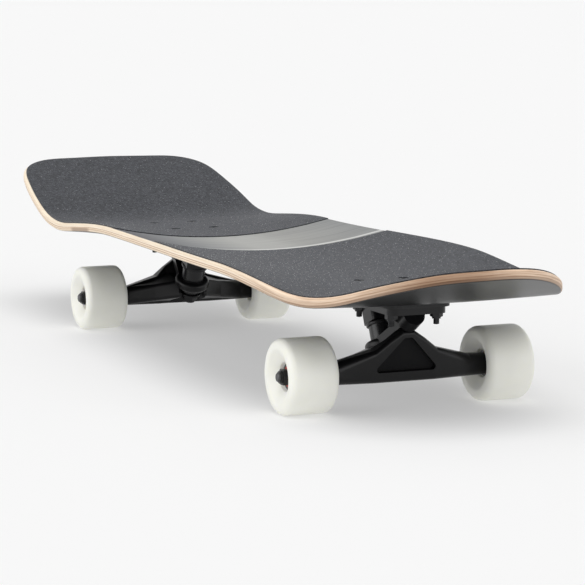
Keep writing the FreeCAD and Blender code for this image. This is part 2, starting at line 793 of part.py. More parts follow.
lower_bushing = turned("lower_bushing", [
    (kingpin_bore, lower_washer_at), (size("lower_bushing_tip_radius"), lower_washer_at, bushing_round),
    (size("lower_bushing_radius"), lower_seat, bushing_round), (spigot, lower_seat),
    (spigot, lower_spigot_end), (kingpin_bore, lower_spigot_end),
], KINGPIN)
lip = size("washer_lip")
thin = size("washer_thickness")
upper_lip = size("upper_bushing_radius") + size("washer_lip_room")
upper_rim = size("upper_washer_radius")
upper_washer = turned("upper_cup_washer", [
    (kingpin_bore, upper_washer_at), (upper_lip, upper_washer_at), (upper_lip, upper_washer_at - lip),
    (upper_rim, upper_washer_at - lip), (upper_rim, upper_washer_at + thin, thin),
    (kingpin_bore, upper_washer_at + thin),
], KINGPIN)
lower_washer = ring("lower_flat_washer", kingpin_bore, size("lower_washer_radius"),
                    kingpin_nut_at, lower_washer_at, KINGPIN)

# Hanger: a casting with a triangular web, two wings, a ring for the bushings and a pivot pin.
tube = size("hanger_tube_half")
tip = size("hanger_end_half")
cast_round = size("hanger_round")
end_round = size("hanger_end_round")
web_middle = [
    (-tube, -tube, cast_round), (tube, -tube, cast_round),
    (size("web_face_reach"), size("web_face_height"), cast_round),
    (size("web_back_reach"), size("web_back_height"), cast_round),
]
face_slope = (size("web_face_reach") - tube) / (size("web_face_height") + tube)


def web_corners(height, back_reach):
    """A lower section of the web with its front edge on the same sloping face."""
    return [
        (-tube, -tube, cast_round), (tube, -tube, cast_round),
        (tube + face_slope * (height + tube), height, cast_round), (back_reach, height, cast_round),
    ]


web_flank = web_corners(size("web_flank_height"), size("web_back_reach"))
web_foot = web_corners(size("web_foot_height"), -size("web_foot_back"))
wing_middle = [
    (-size("wing_low_reach"), size("wing_low_height"), cast_round), (tube / 4, -tube, cast_round),
    (tube / 2, size("wing_root_height"), cast_round),
    (-size("wing_top_reach"), size("wing_top_height"), cast_round),
]
wing_flank = [
    (-size("wing_flank_reach"), size("wing_flank_low"), cast_round), (tube / 4, -tube, cast_round),
    (tube / 2, size("wing_flank_root"), cast_round),
    (-size("wing_flank_reach"), size("wing_flank_top"), cast_round),
]
tube_square = rectangle(-tube, tube, tube, end_round)
tip_square = rectangle(-tip, tip, tip, end_round)
tube_start = size("hanger_tube_start")
web_half = [
    (size("web_half_width"), web_middle), (size("web_flank_half_width"), web_flank),
    (size("web_foot_half_width"), web_foot), (tube_start, tube_square),
    (size("hanger_half_width"), tip_square),
]
wing_half = [
    (size("wing_half_width"), wing_middle), (size("wing_flank_half_width"), wing_flank),
    (tube_start, tube_square),
]
web_stations = [(-y, corners) for y, corners in reversed(web_half)] + web_half
wing_stations = [(-y, corners) for y, corners in reversed(wing_half)] + wing_half
web = skin("hanger_web", web_stations)
wing = skin("hanger_wing", wing_stations)
ring_edge = size("ring_radius")
hanger_ring = turned("hanger_ring", [
    (ZERO, -ring_half), (ring_edge, -ring_half, cast_round),
    (ring_edge, ring_half, cast_round), (ZERO, ring_half),
], KINGPIN)
spine_end = size("pivot_mouth") - size("spine_gap")
spine_half = size("spine_half_width")
spine_tip = size("spine_tip_half_width")
spine = plate("hanger_spine", [
    (size("ring_bore_radius"), -spine_half), (spine_end, -spine_tip, cast_round),
    (spine_end, spine_tip, cast_round), (size("ring_bore_radius"), spine_half),
], size("spine_thickness"), at(z=-size("spine_thickness") / 2, frame=STEERING))
pin_end = size("pivot_mouth") + size("pivot_depth")
pivot_pin = turned("pivot_pin", [
    (ZERO, size("pivot_pin_root")), (pin_radius, size("pivot_pin_root")),
    (pin_radius, pin_end, pin_radius - size("slip")), (ZERO, pin_end),
], at(rotation=ALONG_X, frame=STEERING))
ring_bore = solid("Cylinder", "ring_bore", at(z=-ring_half, frame=KINGPIN),
                  Radius=size("ring_bore_radius"), Height=size("ring_thickness"))
seat_top = solid("Cylinder", "seat_top", at(z=upper_seat, frame=KINGPIN),
                 Radius=size("seat_radius"), Height=size("upper_bushing_height"))
room_angle = math.radians(size("stack_room_angle").value)
room_spread = Size(math.tan(room_angle), "tan(dims.stack_room_angle * 1 deg)")
room_height = size("stack_room_height")
stack_cone = solid("Cone", "stack_cone", at(z=lower_seat - room_height, frame=KINGPIN),
                   Radius1=size("stack_room_radius") + room_height * room_spread,
                   Radius2=size("stack_room_radius"), Height=room_height)
stack_side = block("stack_side", (-room_height * 2, -room_height, lower_seat - room_height),
                   (size("stack_room_outboard"), room_height, lower_seat), KINGPIN)
lower_seat_room = solid("Cylinder", "lower_seat_room", at(z=-ring_half, frame=KINGPIN),
                        Radius=size("stack_room_radius"), Height=size("seat_depth"))
axle_bore = solid("Cylinder", "axle_bore", at(y=-size("hanger_half_width"), rotation=ALONG_Y),
                  Radius=size("axle_radius"), Height=size("hanger_half_width") * 2)
face_run = size("web_face_reach") - tube
face_rise = size("web_face_height") + tube
face_lean = math.degrees(math.atan2(face_run.value, face_rise.value))
FACE = Placement(Vector(tube.value, 0, -tube.value), Rotation(Vector(0, 1, 0), face_lean))
FACE = FACE.multiply(Placement(Vector(), ACROSS))
pocket = plate("hanger_pocket", [
    (-size("pocket_half_width"), size("pocket_low"), size("pocket_round")),
    (size("pocket_half_width"), size("pocket_low"), size("pocket_round")),
    (size("pocket_top_half_width"), size("pocket_high"), size("pocket_round")),
    (-size("pocket_top_half_width"), size("pocket_high"), size("pocket_round")),
], size("pocket_depth") * 3, at(z=-size("pocket_depth"), frame=FACE))
stack_room = shared("stack_room", [stack_cone, stack_side])
hanger_blank = joined("hanger_blank", [web, wing, hanger_ring, spine, pivot_pin])
hanger = carved("hanger", hanger_blank,
                [ring_bore, seat_top, stack_room, lower_seat_room, axle_bore, pocket])

# Axle and the pieces clamped on it. Each wheel set is drawn about the wheel's middle, with Z off the axle's
# end.
nut_at = bearing_outer_face + size("speed_washer_thickness")
axle_end = wheel_middle + nut_at + size("axle_nut_height") + size("axle_nut_collar_height")
axle_end = axle_end + size("axle_tail")
bevel = size("axle_end_bevel")
axle = turned("axle", [
    (ZERO, -axle_end), (size("axle_radius") - bevel, -axle_end), (size("axle_radius"), bevel - axle_end),
    (size("axle_radius"), axle_end - bevel), (size("axle_radius") - bevel, axle_end), (ZERO, axle_end),
], at(rotation=ALONG_Y))
axle_nut = bundle("axle_nut", [
    lock_nut("axle_hexagon_nut", size("axle_nut_width"), size("axle_nut_height"),
             size("axle_nut_collar_radius"), size("axle_nut_collar_height"),
             size("axle_radius") + size("slip")),
], at(z=nut_at))
bore = size("bearing_bore_radius")
outer_washer = ring("outer_speed_washer", bore, size("speed_washer_radius"), bearing_outer_face, nut_at)
inner_washer = mirrored("inner_speed_washer", outer_washer, Vector(0, 0, 1))
spacer = ring("bearing_spacer", bore, size("spacer_radius"), -bearing_inner_face, bearing_inner_face)
groove = solid("Torus", "ball_groove", at(z=bearing_middle), Radius1=size("ball_circle_radius"),
               Radius2=size("ball_radius") + size("ball_play"))
inner_ring = carved("inner_ring", ring("inner_ring_blank", bore, size("inner_ring_radius"),
                                       bearing_inner_face, bearing_outer_face), [groove])
outer_ring_blank = ring("outer_ring_blank", size("outer_ring_bore_radius"), size("bearing_outer_radius"),
                        bearing_inner_face, bearing_outer_face)
outer_ring = carved("outer_ring", outer_ring_blank, [groove])
shield_top = bearing_outer_face - size("shield_recess")
shield = ring("shield", size("inner_ring_radius") + size("shield_gap"), size("outer_ring_bore_radius"),
              shield_top - size("shield_thickness"), shield_top)
balls = []
for number in range(BALLS_PER_BEARING):
    angle = 2 * math.pi * number / BALLS_PER_BEARING
    circle = size("ball_circle_radius")
    ball_place = at(circle * math.cos(angle), circle * math.sin(angle), bearing_middle)
    balls.append(solid("Sphere", f"ball_{number}", ball_place, Radius=size("ball_radius")))
ball_row = bundle("ball_row", balls)
pockets = []
for number, ball in enumerate(balls):
    pockets.append(solid("Sphere", f"cage_pocket_{number}", ball.Placement,
                         Radius=size("ball_radius") + size("ball_play")))
cage_top = bearing_middle + size("ball_radius") + size("ball_play") + size("cage_rail")
cage = carved("cage", ring("cage_blank", size("cage_inner_radius"), size("cage_outer_radius"),
                           bearing_middle - size("cage_finger"), cage_top), pockets)


def both(name, master):
    """A bearing piece and its mirror image on the wheel's other side."""
    return bundle(name, [master, mirrored(f"{name}_mirror", master, Vector(0, 0, 1))])


# Wheel: a cast urethane tyre with dished faces and two bearing seats.
half_width = size("wheel_width") / 2
tread = size("wheel_diameter") / 2
seat = size("bearing_outer_radius") + size("slip")
dish = half_width - size("wheel_dish_depth")
lip_round = size("wheel_lip_round")
core = size("wheel_core_radius")
mouth = size("wheel_mouth_radius")
face = size("wheel_face_radius")
wheel = turned("wheel_tyre", [
    (core, -bearing_inner_face), (seat, -bearing_inner_face), (seat, -bearing_outer_face),
    (mouth, -dish), (face, -half_width, lip_round), (tread, -half_width, lip_round),
    (tread, half_width, lip_round), (face, half_width, lip_round), (mouth, dish),
    (seat, bearing_outer_face), (seat, bearing_inner_face), (core, bearing_inner_face),
])
wheel_masters = {
    "wheel": wheel,
    "bearing_outer_rings": both("outer_ring_pair", outer_ring),
    "bearing_balls": both("ball_pair", ball_row),
    "bearing_cages": both("cage_pair", cage),
    "bearing_shields": both("shield_pair", shield),
}
axle_end_masters = {
    "axle_nuts": axle_nut,
    "speed_washers": bundle("speed_washer_pair", [outer_washer, inner_washer]),
    "bearing_inner_rings": both("inner_ring_pair", inner_ring),
    "bearing_spacers": spacer,
}
truck_masters = {
    "riser_pad": riser,
    "baseplate": baseplate,
    "pivot_cup": pivot_cup,
    "kingpin": kingpin,
    "kingpin_nut": kingpin_nut,
    "upper_bushing": upper_bushing,
    "lower_bushing": lower_bushing,
    "bushing_washers": bundle("washer_pair", [upper_washer, lower_washer]),
    "hanger": hanger,
    "axle": axle,
    "deck_bolts": spread("truck_bolts", bolt, bolt_spots, bolt_top - axle_height),
    "lock_nuts": spread("truck_lock_nuts", plate_nut, bolt_spots, plate_bottom, DOWN),
}

# Nodes: every named piece of the board in its own place.
nodes = []


def node(label, masters, place=None, x=None, y=None, z=None):
    """A named piece, with its place bound to the sheet."""
    feature = bundle(f"node_{label}", masters, place)
    feature.Label = label
    for name, amount in (("x", x), ("y", y), ("z", z)):
        if amount is not None:
            feature.setExpression(f"Placement.Base.{name}", amount.text)
    nodes.append(feature)


node("deck", [deck])
for end in ENDS:
    node(f"{end}_grip_tape", [grips[end]], at(z=size("grip_glue")), ZERO, ZERO, size("grip_glue"))
for end, axle_x in (("front", front_axle), ("rear", rear_axle)):
    frame = truck_frame(end)
    for name, master in truck_masters.items():
        node(f"{end}_{name}", [master], frame, axle_x, ZERO, axle_height)
    sides = {}
    for side, sign in (("left", 1), ("right", -1)):
        facing = Rotation(Vector(1, 0, 0), -90 * sign)
        sides[side] = at(axle_x, wheel_middle * sign, axle_height, facing)
        for name, master in wheel_masters.items():
            node(f"{end}_{side}_{name}", [master], sides[side], axle_x, wheel_middle * sign, axle_height)
    for name, master in axle_end_masters.items():
        pair = [bundle(f"{end}_{side}_{name}_place", [master], place) for side, place in sides.items()]
        node(f"{end}_{name}", pair)
doc.recompute()

for feature in doc.Objects:
    if "Invalid" in feature.State or "Error" in feature.State:
        raise RuntimeError(f"{feature.Name} did not build")
os.makedirs("parts", exist_ok=True)
for feature in nodes:
    if feature.Shape.isNull() or not feature.Shape.isValid() or not feature.Shape.Solids:
        raise RuntimeError(f"{feature.Label} has no valid shape")
    feature.Shape.exportStep(f"parts/{feature.Label}.step")
    print(feature.Label, len(feature.Shape.Solids), round(feature.Shape.Volume, 1))
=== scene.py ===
# %% [markdown]
# # A longboard skateboard in the studio
# The board is a bent wooden deck with grip tape on top, two steering trucks below it and four soft wheels.
# The frame brings its solids at their real size, in metres, with +X to the nose and +Z up. They could be
# modelled again in Blender, but then the picture would no longer show the part that was checked. So the
# solids stay as they are. The cells below give them surfaces, add the small things that repeat, and set up
# the floor, the light and the camera.

# %% Load the frame
import json
import math

import bpy
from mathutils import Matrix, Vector


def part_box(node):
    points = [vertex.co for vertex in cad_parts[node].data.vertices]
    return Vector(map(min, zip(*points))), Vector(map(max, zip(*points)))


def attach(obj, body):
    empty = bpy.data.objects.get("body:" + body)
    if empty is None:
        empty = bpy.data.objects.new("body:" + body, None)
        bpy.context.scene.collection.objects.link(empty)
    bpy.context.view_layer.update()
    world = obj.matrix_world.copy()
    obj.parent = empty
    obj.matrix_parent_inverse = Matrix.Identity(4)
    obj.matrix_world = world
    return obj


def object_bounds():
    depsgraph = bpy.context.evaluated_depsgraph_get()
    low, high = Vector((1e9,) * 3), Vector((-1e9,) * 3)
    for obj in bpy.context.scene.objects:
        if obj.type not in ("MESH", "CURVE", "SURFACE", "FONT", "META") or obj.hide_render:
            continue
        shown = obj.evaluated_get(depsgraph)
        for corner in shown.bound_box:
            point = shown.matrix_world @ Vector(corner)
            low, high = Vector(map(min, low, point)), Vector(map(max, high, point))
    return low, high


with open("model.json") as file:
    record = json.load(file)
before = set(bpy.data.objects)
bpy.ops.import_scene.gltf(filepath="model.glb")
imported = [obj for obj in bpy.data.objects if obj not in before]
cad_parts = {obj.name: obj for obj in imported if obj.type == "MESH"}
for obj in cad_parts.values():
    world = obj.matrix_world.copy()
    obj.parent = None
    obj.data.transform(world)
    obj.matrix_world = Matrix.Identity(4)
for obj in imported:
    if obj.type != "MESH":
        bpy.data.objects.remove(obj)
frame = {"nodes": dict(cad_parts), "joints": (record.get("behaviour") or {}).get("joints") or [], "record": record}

start_low, start_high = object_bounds()
print("pieces", len(frame["nodes"]), "size", [round(length, 4) for length in start_high - start_low])

# %% [markdown]
# ## Nodes and sums
# In Blender a surface is a tree of nodes, with textures and sums on the left and one shader on the right. A
# tree can be drawn by hand in the shader editor, but a script can be read, changed and run again. These
# helpers feed a socket, add a node, do one sum, multiply values and split a vector, so that each finish
# reads like a recipe.

# %% Helpers: nodes and sums
def put(socket, tree, value):
    """Feed a socket from another socket, or set its own value."""
    if isinstance(value, bpy.types.NodeSocket):
        tree.links.new(value, socket)
    else:
        socket.default_value = value


def add(tree, kind, inputs=None, **settings):
    """Add a node with its settings and inputs, named or numbered."""
    made = tree.nodes.new(kind)
    for name, value in settings.items():
        setattr(made, name, value)
    for name, value in (inputs or {}).items():
        put(made.inputs[name], tree, value)
    return made


def calc(tree, operation, *values, clamp=False):
    """One sum; returns its result socket."""
    numbered = dict(enumerate(values))
    return add(tree, "ShaderNodeMath", numbered, operation=operation, use_clamp=clamp).outputs[0]


def product(tree, first, *others):
    """Several values or masks multiplied."""
    for other in others:
        first = calc(tree, "MULTIPLY", first, other)
    return first


def split(tree, vector):
    """The X, Y and Z of a vector."""
    return add(tree, "ShaderNodeSeparateXYZ", {0: vector}).outputs


print("helpers for nodes and sums ready")

# %% [markdown]
# ## The kicks
# Nose and tail of the real deck are bent up in the press: an arc, then a straight slope. The veneers bend
# with them. To find a veneer at any point, the material has to know how far the deck has risen there. The
# rise could be read off a picture of heights, but the formula is short and exact. The arc is wider at the
# deck's sides than in its middle. All sizes here are those of the solids, in millimetres.

# %% Rise of a kick
MM = 1000.0
spin = {joint["name"]: joint["pos_m"] for joint in frame["joints"] if joint.get("continuous")}
FRONT_AXLE = spin["front_left_wheel_spin"][0] * MM
REAR_AXLE = spin["rear_left_wheel_spin"][0] * MM
NOSE_PAST_AXLE, NOSE_ANGLE = 69.4, math.radians(18.5)
TAIL_PAST_AXLE, TAIL_ANGLE = 66.8, math.radians(18.1)
BEND_RADIUS, SIDE_BEND_RADIUS = 170.0, 265.0


def kick(tree, run, angle, radius):
    """Rise of a kick past its bend: an arc, then a straight slope."""
    reach = calc(tree, "MULTIPLY", radius, math.tan(angle / 2))
    arc_end = calc(tree, "MULTIPLY", radius, math.sin(angle))
    from_start = calc(tree, "ADD", run, reach)
    turn = calc(tree, "MINIMUM", calc(tree, "MAXIMUM", from_start, 0.0), arc_end)
    squares = calc(tree, "SUBTRACT", calc(tree, "POWER", radius, 2.0), calc(tree, "POWER", turn, 2.0))
    arc = calc(tree, "SUBTRACT", radius, calc(tree, "SQRT", squares))
    beyond = calc(tree, "MAXIMUM", calc(tree, "SUBTRACT", from_start, arc_end), 0.0)
    return calc(tree, "ADD", arc, calc(tree, "MULTIPLY", beyond, math.tan(angle)))


print("axles at", round(FRONT_AXLE, 1), "and", round(REAR_AXLE, 1), "mm")

# %% [markdown]
# ## Ranges and groups
# Two more tools are needed before the deck's shape can be put into nodes. The first carries a value from
# one range to another, evenly or with a soft start and end, and most masks below are made with it. The
# second builds a group: a small tree that several materials use. The same nodes could be copied into each
# material, but then a change would have to be made in every copy.

# %% Helpers: ranges and groups
FLOAT, VECTOR = "NodeSocketFloat", "NodeSocketVector"


def span(tree, value, low, high, to_low=0.0, to_high=1.0, smooth=True):
    """Carry a value from one range to another."""
    kind = "SMOOTHSTEP" if smooth else "LINEAR"
    amounts = dict(enumerate((value, low, high, to_low, to_high)))
    return add(tree, "ShaderNodeMapRange", amounts, interpolation_type=kind).outputs[0]


def group(name, inputs, outputs):
    """A new shader node group with its named inputs and outputs."""
    tree = bpy.data.node_groups.new(name, "ShaderNodeTree")
    for label, value in inputs.items():
        tree.interface.new_socket(label, in_out="INPUT", socket_type=FLOAT).default_value = value
    for label, kind in outputs.items():
        tree.interface.new_socket(label, in_out="OUTPUT", socket_type=kind)
    return tree, tree.nodes.new("NodeGroupInput").outputs, tree.nodes.new("NodeGroupOutput").inputs


print("helpers for ranges and groups ready")

# %% [markdown]
# ## Depth in the deck
# The deck is a pressed stack of veneers, so its edge shows stripes that follow the bent shape. They could
# be drawn on an unwrapped edge, but a long bent edge unwraps badly. This group works out instead how deep a
# point lies under the top face, from the flat height, the two kicks and the concave, which fades out over
# each truck. It also puts out the place in millimetres, which the grip tape and the castings use.

# %% Group: deck depth
DECK_TOP = 102.0
CONCAVE_HALF_WIDTH = 120.0
CONCAVE_FADE = 112.0
FRONT_CONCAVE, REAR_CONCAVE = 12.5, 15.2

depth_group, _, depth_out = group("Deck Depth", {}, {"Depth": FLOAT, "Place": VECTOR})
tree = depth_group
place = add(tree, "ShaderNodeTexCoord").outputs["Object"]
place = add(tree, "ShaderNodeVectorMath", {0: place, "Scale": MM}, operation="SCALE").outputs[0]
along, across, height = split(tree, place)
sideways = calc(tree, "ABSOLUTE", calc(tree, "DIVIDE", across, CONCAVE_HALF_WIDTH))
side = calc(tree, "POWER", sideways, 2.0)
radius = calc(tree, "MULTIPLY_ADD", side, SIDE_BEND_RADIUS - BEND_RADIUS, BEND_RADIUS)
past_nose = calc(tree, "SUBTRACT", along, FRONT_AXLE + NOSE_PAST_AXLE)
past_tail = calc(tree, "SUBTRACT", REAR_AXLE - TAIL_PAST_AXLE, along)
nose_rise = kick(tree, past_nose, NOSE_ANGLE, radius)
tail_rise = kick(tree, past_tail, TAIL_ANGLE, radius)
front_fade = span(tree, along, FRONT_AXLE - CONCAVE_FADE, FRONT_AXLE + CONCAVE_FADE, 1.0, 0.0)
rear_fade = span(tree, along, REAR_AXLE - CONCAVE_FADE, REAR_AXLE + CONCAVE_FADE, 0.0, 1.0)
concave = span(tree, along, REAR_AXLE, FRONT_AXLE, REAR_CONCAVE, FRONT_CONCAVE, smooth=False)
bow = product(tree, side, concave, front_fade, rear_fade)
rise = calc(tree, "ADD", nose_rise, tail_rise)
top = calc(tree, "ADD", rise, calc(tree, "ADD", bow, DECK_TOP))
put(depth_out["Depth"], tree, calc(tree, "SUBTRACT", top, height))
put(depth_out["Place"], tree, place)
print("deck depth group has", len(tree.nodes), "nodes")

# %% [markdown]
# ## Noise and bumps
# Wood, grit and castings are all uneven, and noise drawn in space gives each of them its unevenness. A
# photo of a surface could do it too, but it would bring a seam and a fixed sharpness. A bump makes the
# light see that noise as a surface that rises and falls, without any more faces.

# %% Helpers: noise and bumps
def noise(tree, place, scale, detail, roughness=0.5, stretch=None):
    """Soft noise, drawn out along the axes if asked for."""
    if stretch:
        place = add(tree, "ShaderNodeVectorMath", {0: place, 1: stretch}, operation="MULTIPLY").outputs[0]
    values = {"Vector": place, "Scale": scale, "Detail": detail, "Roughness": roughness}
    return add(tree, "ShaderNodeTexNoise", values).outputs[0]


def bump(tree, height, strength, distance):
    """A normal that makes a value look raised, by a distance in metres."""
    values = {"Strength": strength, "Distance": distance, "Height": height}
    return add(tree, "ShaderNodeBump", values).outputs[0]


print("helpers for noise and bumps ready")

# %% [markdown]
# ## Fine grain
# Cast metal, moulded plastic and urethane are never quite smooth. Their unevenness could be modelled, but
# it is far smaller than a pixel, so a bump and a small change of roughness are enough. One group gives them
# to all these materials, and each sets its own values.

# %% Group: fine grain
GRAIN_HEIGHT = 0.0004
PATCH_SCALE = 45.0

grain_group, grain_in, grain_out = group(
    "Fine Grain",
    {"Scale": 900.0, "Strength": 0.1, "Roughness": 0.4, "Wander": 0.08},
    {"Normal": VECTOR, "Roughness": FLOAT, "Patch": FLOAT})
tree = grain_group
place = add(tree, "ShaderNodeTexCoord").outputs["Object"]
fine = noise(tree, place, scale=grain_in["Scale"], detail=3.0)
patch = noise(tree, place, scale=PATCH_SCALE, detail=4.0)
drift = product(tree, calc(tree, "SUBTRACT", patch, 0.5), grain_in["Wander"])
put(grain_out["Normal"], tree, bump(tree, fine, grain_in["Strength"], GRAIN_HEIGHT))
put(grain_out["Roughness"], tree, calc(tree, "ADD", grain_in["Roughness"], drift, clamp=True))
put(grain_out["Patch"], tree, patch)
print("fine grain group has", len(tree.nodes), "nodes")

# %% [markdown]
# ## Materials
# A material is a tree whose main shader turns colour, roughness and normals into the look of a surface.
# Masks say where each finish lies: a mask is a number from 0 to 1. It could be painted as a picture, but a
# mask that is worked out from the place on the board stays sharp at any size and needs no file.

# %% Helpers: materials and masks
def find(tree, kind):
    """The first node of a kind."""
    return next(node for node in tree.nodes if node.type == kind)


def material(name):
    """A new material; returns it with its tree and its main shader."""
    made = bpy.data.materials.new(name)
    made.use_nodes = True
    return made, made.node_tree, find(made.node_tree, "BSDF_PRINCIPLED")


def use(tree, made, inputs=None):
    """Place a node group in a tree; returns its outputs."""
    return add(tree, "ShaderNodeGroup", inputs, node_tree=made).outputs


def between(tree, mask, without, inside):
    """A value that goes evenly from one amount to another as a mask rises."""
    return span(tree, mask, 0.0, 1.0, without, inside, smooth=False)


print("helpers for materials and masks ready")

# %% [markdown]
# ## Deck: where its skins lie
# The deck has three skins: bare maple on its edge, a stained top, and dark lacquer below. A material for
# each would leave hard seams on the rounded edge, so one material mixes the three by depth. Along the far
# side and at the tail the top's border and the edge below it are painted near black: partly standing in for
# the grip's dark edge, partly painted shade. A pair of numbers in these cells says where a mask starts and
# where it is full, in millimetres.

# %% Deck: masks
DECK_THICK = 8.5
BORDER_ACROSS, BORDER_ALONG, BORDER_TAIL = (20.0, 60.0), (340.0, 290.0), (-430.0, -458.0)
STAIN_DEPTH, BORDER_DEPTH, STAIN_FULL = 0.40, 1.5, 0.12
LACQUER_FROM, LACQUER_FULL = DECK_THICK - 0.55, DECK_THICK - 0.25

deck_material, tree, shader = material("deck_maple")
depth, place = use(tree, depth_group)
along, across, _ = split(tree, place)
# Mask of the far side and the tail, where the top's border and the edge below are painted near black, partly as
# painted shade.
far_grip_edge_and_shade = product(tree, span(tree, across, *BORDER_ACROSS), span(tree, along, *BORDER_ALONG))
far_grip_edge_and_shade = calc(tree, "MAXIMUM", far_grip_edge_and_shade, span(tree, along, *BORDER_TAIL))
on_top = span(tree, depth, between(tree, far_grip_edge_and_shade, STAIN_DEPTH, BORDER_DEPTH), STAIN_FULL)
below = span(tree, depth, LACQUER_FROM, LACQUER_FULL)
print("deck masks have", len(tree.nodes), "nodes")

# %% [markdown]
# ## Colours
# Wood is never one colour. Two helpers are enough to paint it: one mixes two colours by a mask, and the
# other turns a value into a colour by a row of stops. A painted picture could hold all tones at once, but
# these can be changed one at a time.

# %% Helpers: colours
MIX_FIRST, MIX_SECOND, MIX_RESULT = 6, 7, 2


def blend(tree, share, first, second, mode="MIX"):
    """Mix two colours by a share; returns the colour socket."""
    colours = {0: share, MIX_FIRST: first, MIX_SECOND: second}
    return add(tree, "ShaderNodeMix", colours, data_type="RGBA", blend_type=mode).outputs[MIX_RESULT]


def ramp(tree, value, stops, mode="LINEAR"):
    """A colour ramp through (place, colour) stops."""
    made = tree.nodes.new("ShaderNodeValToRGB")
    made.color_ramp.interpolation = mode
    while len(made.color_ramp.elements) < len(stops):
        made.color_ramp.elements.new(1.0)
    for element, (place, colour) in zip(made.color_ramp.elements, stops):
        element.position = place
        element.color = colour
    put(made.inputs[0], tree, value)
    return made.outputs[0]


print("helpers for colours ready")

# %% [markdown]
# ## Deck: veneers
# On a cut edge some veneers show their pale long grain and some their brown end grain. A picture of wood
# could be wrapped round the edge, but its stripes would not follow the kicks. Here a ramp over the depth
# gives each veneer its tone. One noise drawn out along the board adds grain, and another, which follows the
# bent veneers, adds dark pores.

# %% Deck: maple of the edge
WHITE = (1, 1, 1, 1)
VENEERS = [
    (0.0, (0.90, 0.80, 0.65, 1)), (0.16, (0.88, 0.75, 0.59, 1)), (0.30, (0.91, 0.81, 0.67, 1)),
    (0.47, (0.52, 0.34, 0.23, 1)), (0.53, (0.89, 0.76, 0.60, 1)), (0.68, (0.54, 0.36, 0.25, 1)),
    (0.74, (0.90, 0.77, 0.61, 1)), (0.93, (0.42, 0.31, 0.22, 1))]
GRAIN_TONES = [(0.3, (0.76, 0.65, 0.54, 1)), (0.62, WHITE)]
PORE_TONES = [(0.36, (0.70, 0.56, 0.44, 1)), (0.50, WHITE)]
GRAIN_SHARE, PORE_SHARE = 0.4, 0.35
GRAIN_STRETCH, PORE_STRETCH = (0.012, 0.05, 1.6), (0.02, 0.02, 0.8)

grain = noise(tree, place, scale=2.0, detail=5.0, stretch=GRAIN_STRETCH)
bent = add(tree, "ShaderNodeCombineXYZ", {0: along, 1: across, 2: depth}).outputs[0]
pores = noise(tree, bent, scale=1.0, detail=5.0, roughness=0.65, stretch=PORE_STRETCH)
layer = calc(tree, "DIVIDE", depth, DECK_THICK)
wood = ramp(tree, layer, VENEERS, "CONSTANT")
wood = blend(tree, GRAIN_SHARE, wood, ramp(tree, grain, GRAIN_TONES), "MULTIPLY")
wood = blend(tree, PORE_SHARE, wood, ramp(tree, pores, PORE_TONES), "MULTIPLY")
print("veneers", len(VENEERS))

# %% [markdown]
# ## Deck: heartwood, painted light and painted shade at the nose
# Towards the nose the edge turns from pale sapwood to tan heartwood. There the edge is also painted lighter
# towards its top, as painted light from above, and one stretch of the nose is painted darker still, as painted
# shade. Two sorts of veneer would need two materials with a seam between them. Masks along the board let one
# tone run into the other, as it does in real wood.

# %% Deck: tan nose
TAN_ALONG, TAN_SHARE = (160.0, 370.0), 0.7
HEART_TONES = [
    (0.34, (0.34, 0.19, 0.115, 1)), (0.48, (0.54, 0.36, 0.245, 1)), (0.62, (0.74, 0.56, 0.42, 1))]
HEART_BOTTOM, BOTTOM_LAYER = (0.30, 0.18, 0.12, 1), (0.80, 0.90)
# Ramp over depth for the nose edge: lighter towards the top as painted light from above, with one dark veneer line
# low down.
HEART_PLIES_AND_TOP_LIGHT = [
    (0.0, (1.25, 1.23, 1.22, 1)), (0.25, (1.08, 1.08, 1.08, 1)), (0.55, (0.97, 0.97, 0.97, 1)),
    (0.70, (0.90, 0.89, 0.88, 1)), (0.74, (0.60, 0.56, 0.54, 1)), (0.82, (0.60, 0.56, 0.54, 1)),
    (0.86, (0.88, 0.87, 0.86, 1))]
# Colour and place of a stretch of the nose painted darker, as painted shade.
NOSE_SHADE, NOSE_SHADE_AT = (0.47, 0.395, 0.345, 1), -36.0
NOSE_SHADE_ACROSS, NOSE_SHADE_ALONG = (68.0, 12.0), (370.0, 405.0)


def away(tree, value, line):
    """How far a value lies from a line, on either side."""
    return calc(tree, "ABSOLUTE", calc(tree, "SUBTRACT", value, line))


nose_tan_and_top_light = span(tree, along, *TAN_ALONG)
heart = ramp(tree, pores, HEART_TONES)
heart = blend(tree, span(tree, layer, *BOTTOM_LAYER), heart, HEART_BOTTOM)
wood = blend(tree, product(tree, nose_tan_and_top_light, TAN_SHARE), wood, heart)
# The nose edge is painted lighter towards its top, as painted light from above.
wood = blend(tree, nose_tan_and_top_light, wood, ramp(tree, layer, HEART_PLIES_AND_TOP_LIGHT), "MULTIPLY")
# A stretch of the nose is painted darker, as painted shade.
nose_shade = span(tree, away(tree, across, NOSE_SHADE_AT), *NOSE_SHADE_ACROSS)
nose_shade = product(tree, nose_shade, span(tree, along, *NOSE_SHADE_ALONG))
wood = blend(tree, nose_shade, wood, NOSE_SHADE, "MULTIPLY")
print("tan nose from", TAN_ALONG[0], "mm on")

# %% [markdown]
# ## Deck: brown mark
# The lower veneers on the deck's right side have one short brown mark near the rear truck, as a knot or a
# patch of heartwood leaves. It could be a small piece of its own, but it has no thickness, so it is a mask
# along the board and by depth.

# %% Deck: brown mark
MARK_AT, MARK_ALONG = -203.0, (32.0, 20.0)
MARK_DEPTH, MARK_ACROSS = (4.4, 5.2), (0.0, -60.0)
MARK_BROWN, MARK_SHARE = (0.36, 0.25, 0.18, 1), 0.8

mark = product(
    tree, span(tree, away(tree, along, MARK_AT), *MARK_ALONG), span(tree, depth, *MARK_DEPTH),
    span(tree, across, *MARK_ACROSS), MARK_SHARE)
wood = blend(tree, mark, wood, MARK_BROWN)
print("brown mark at", MARK_AT, "mm")

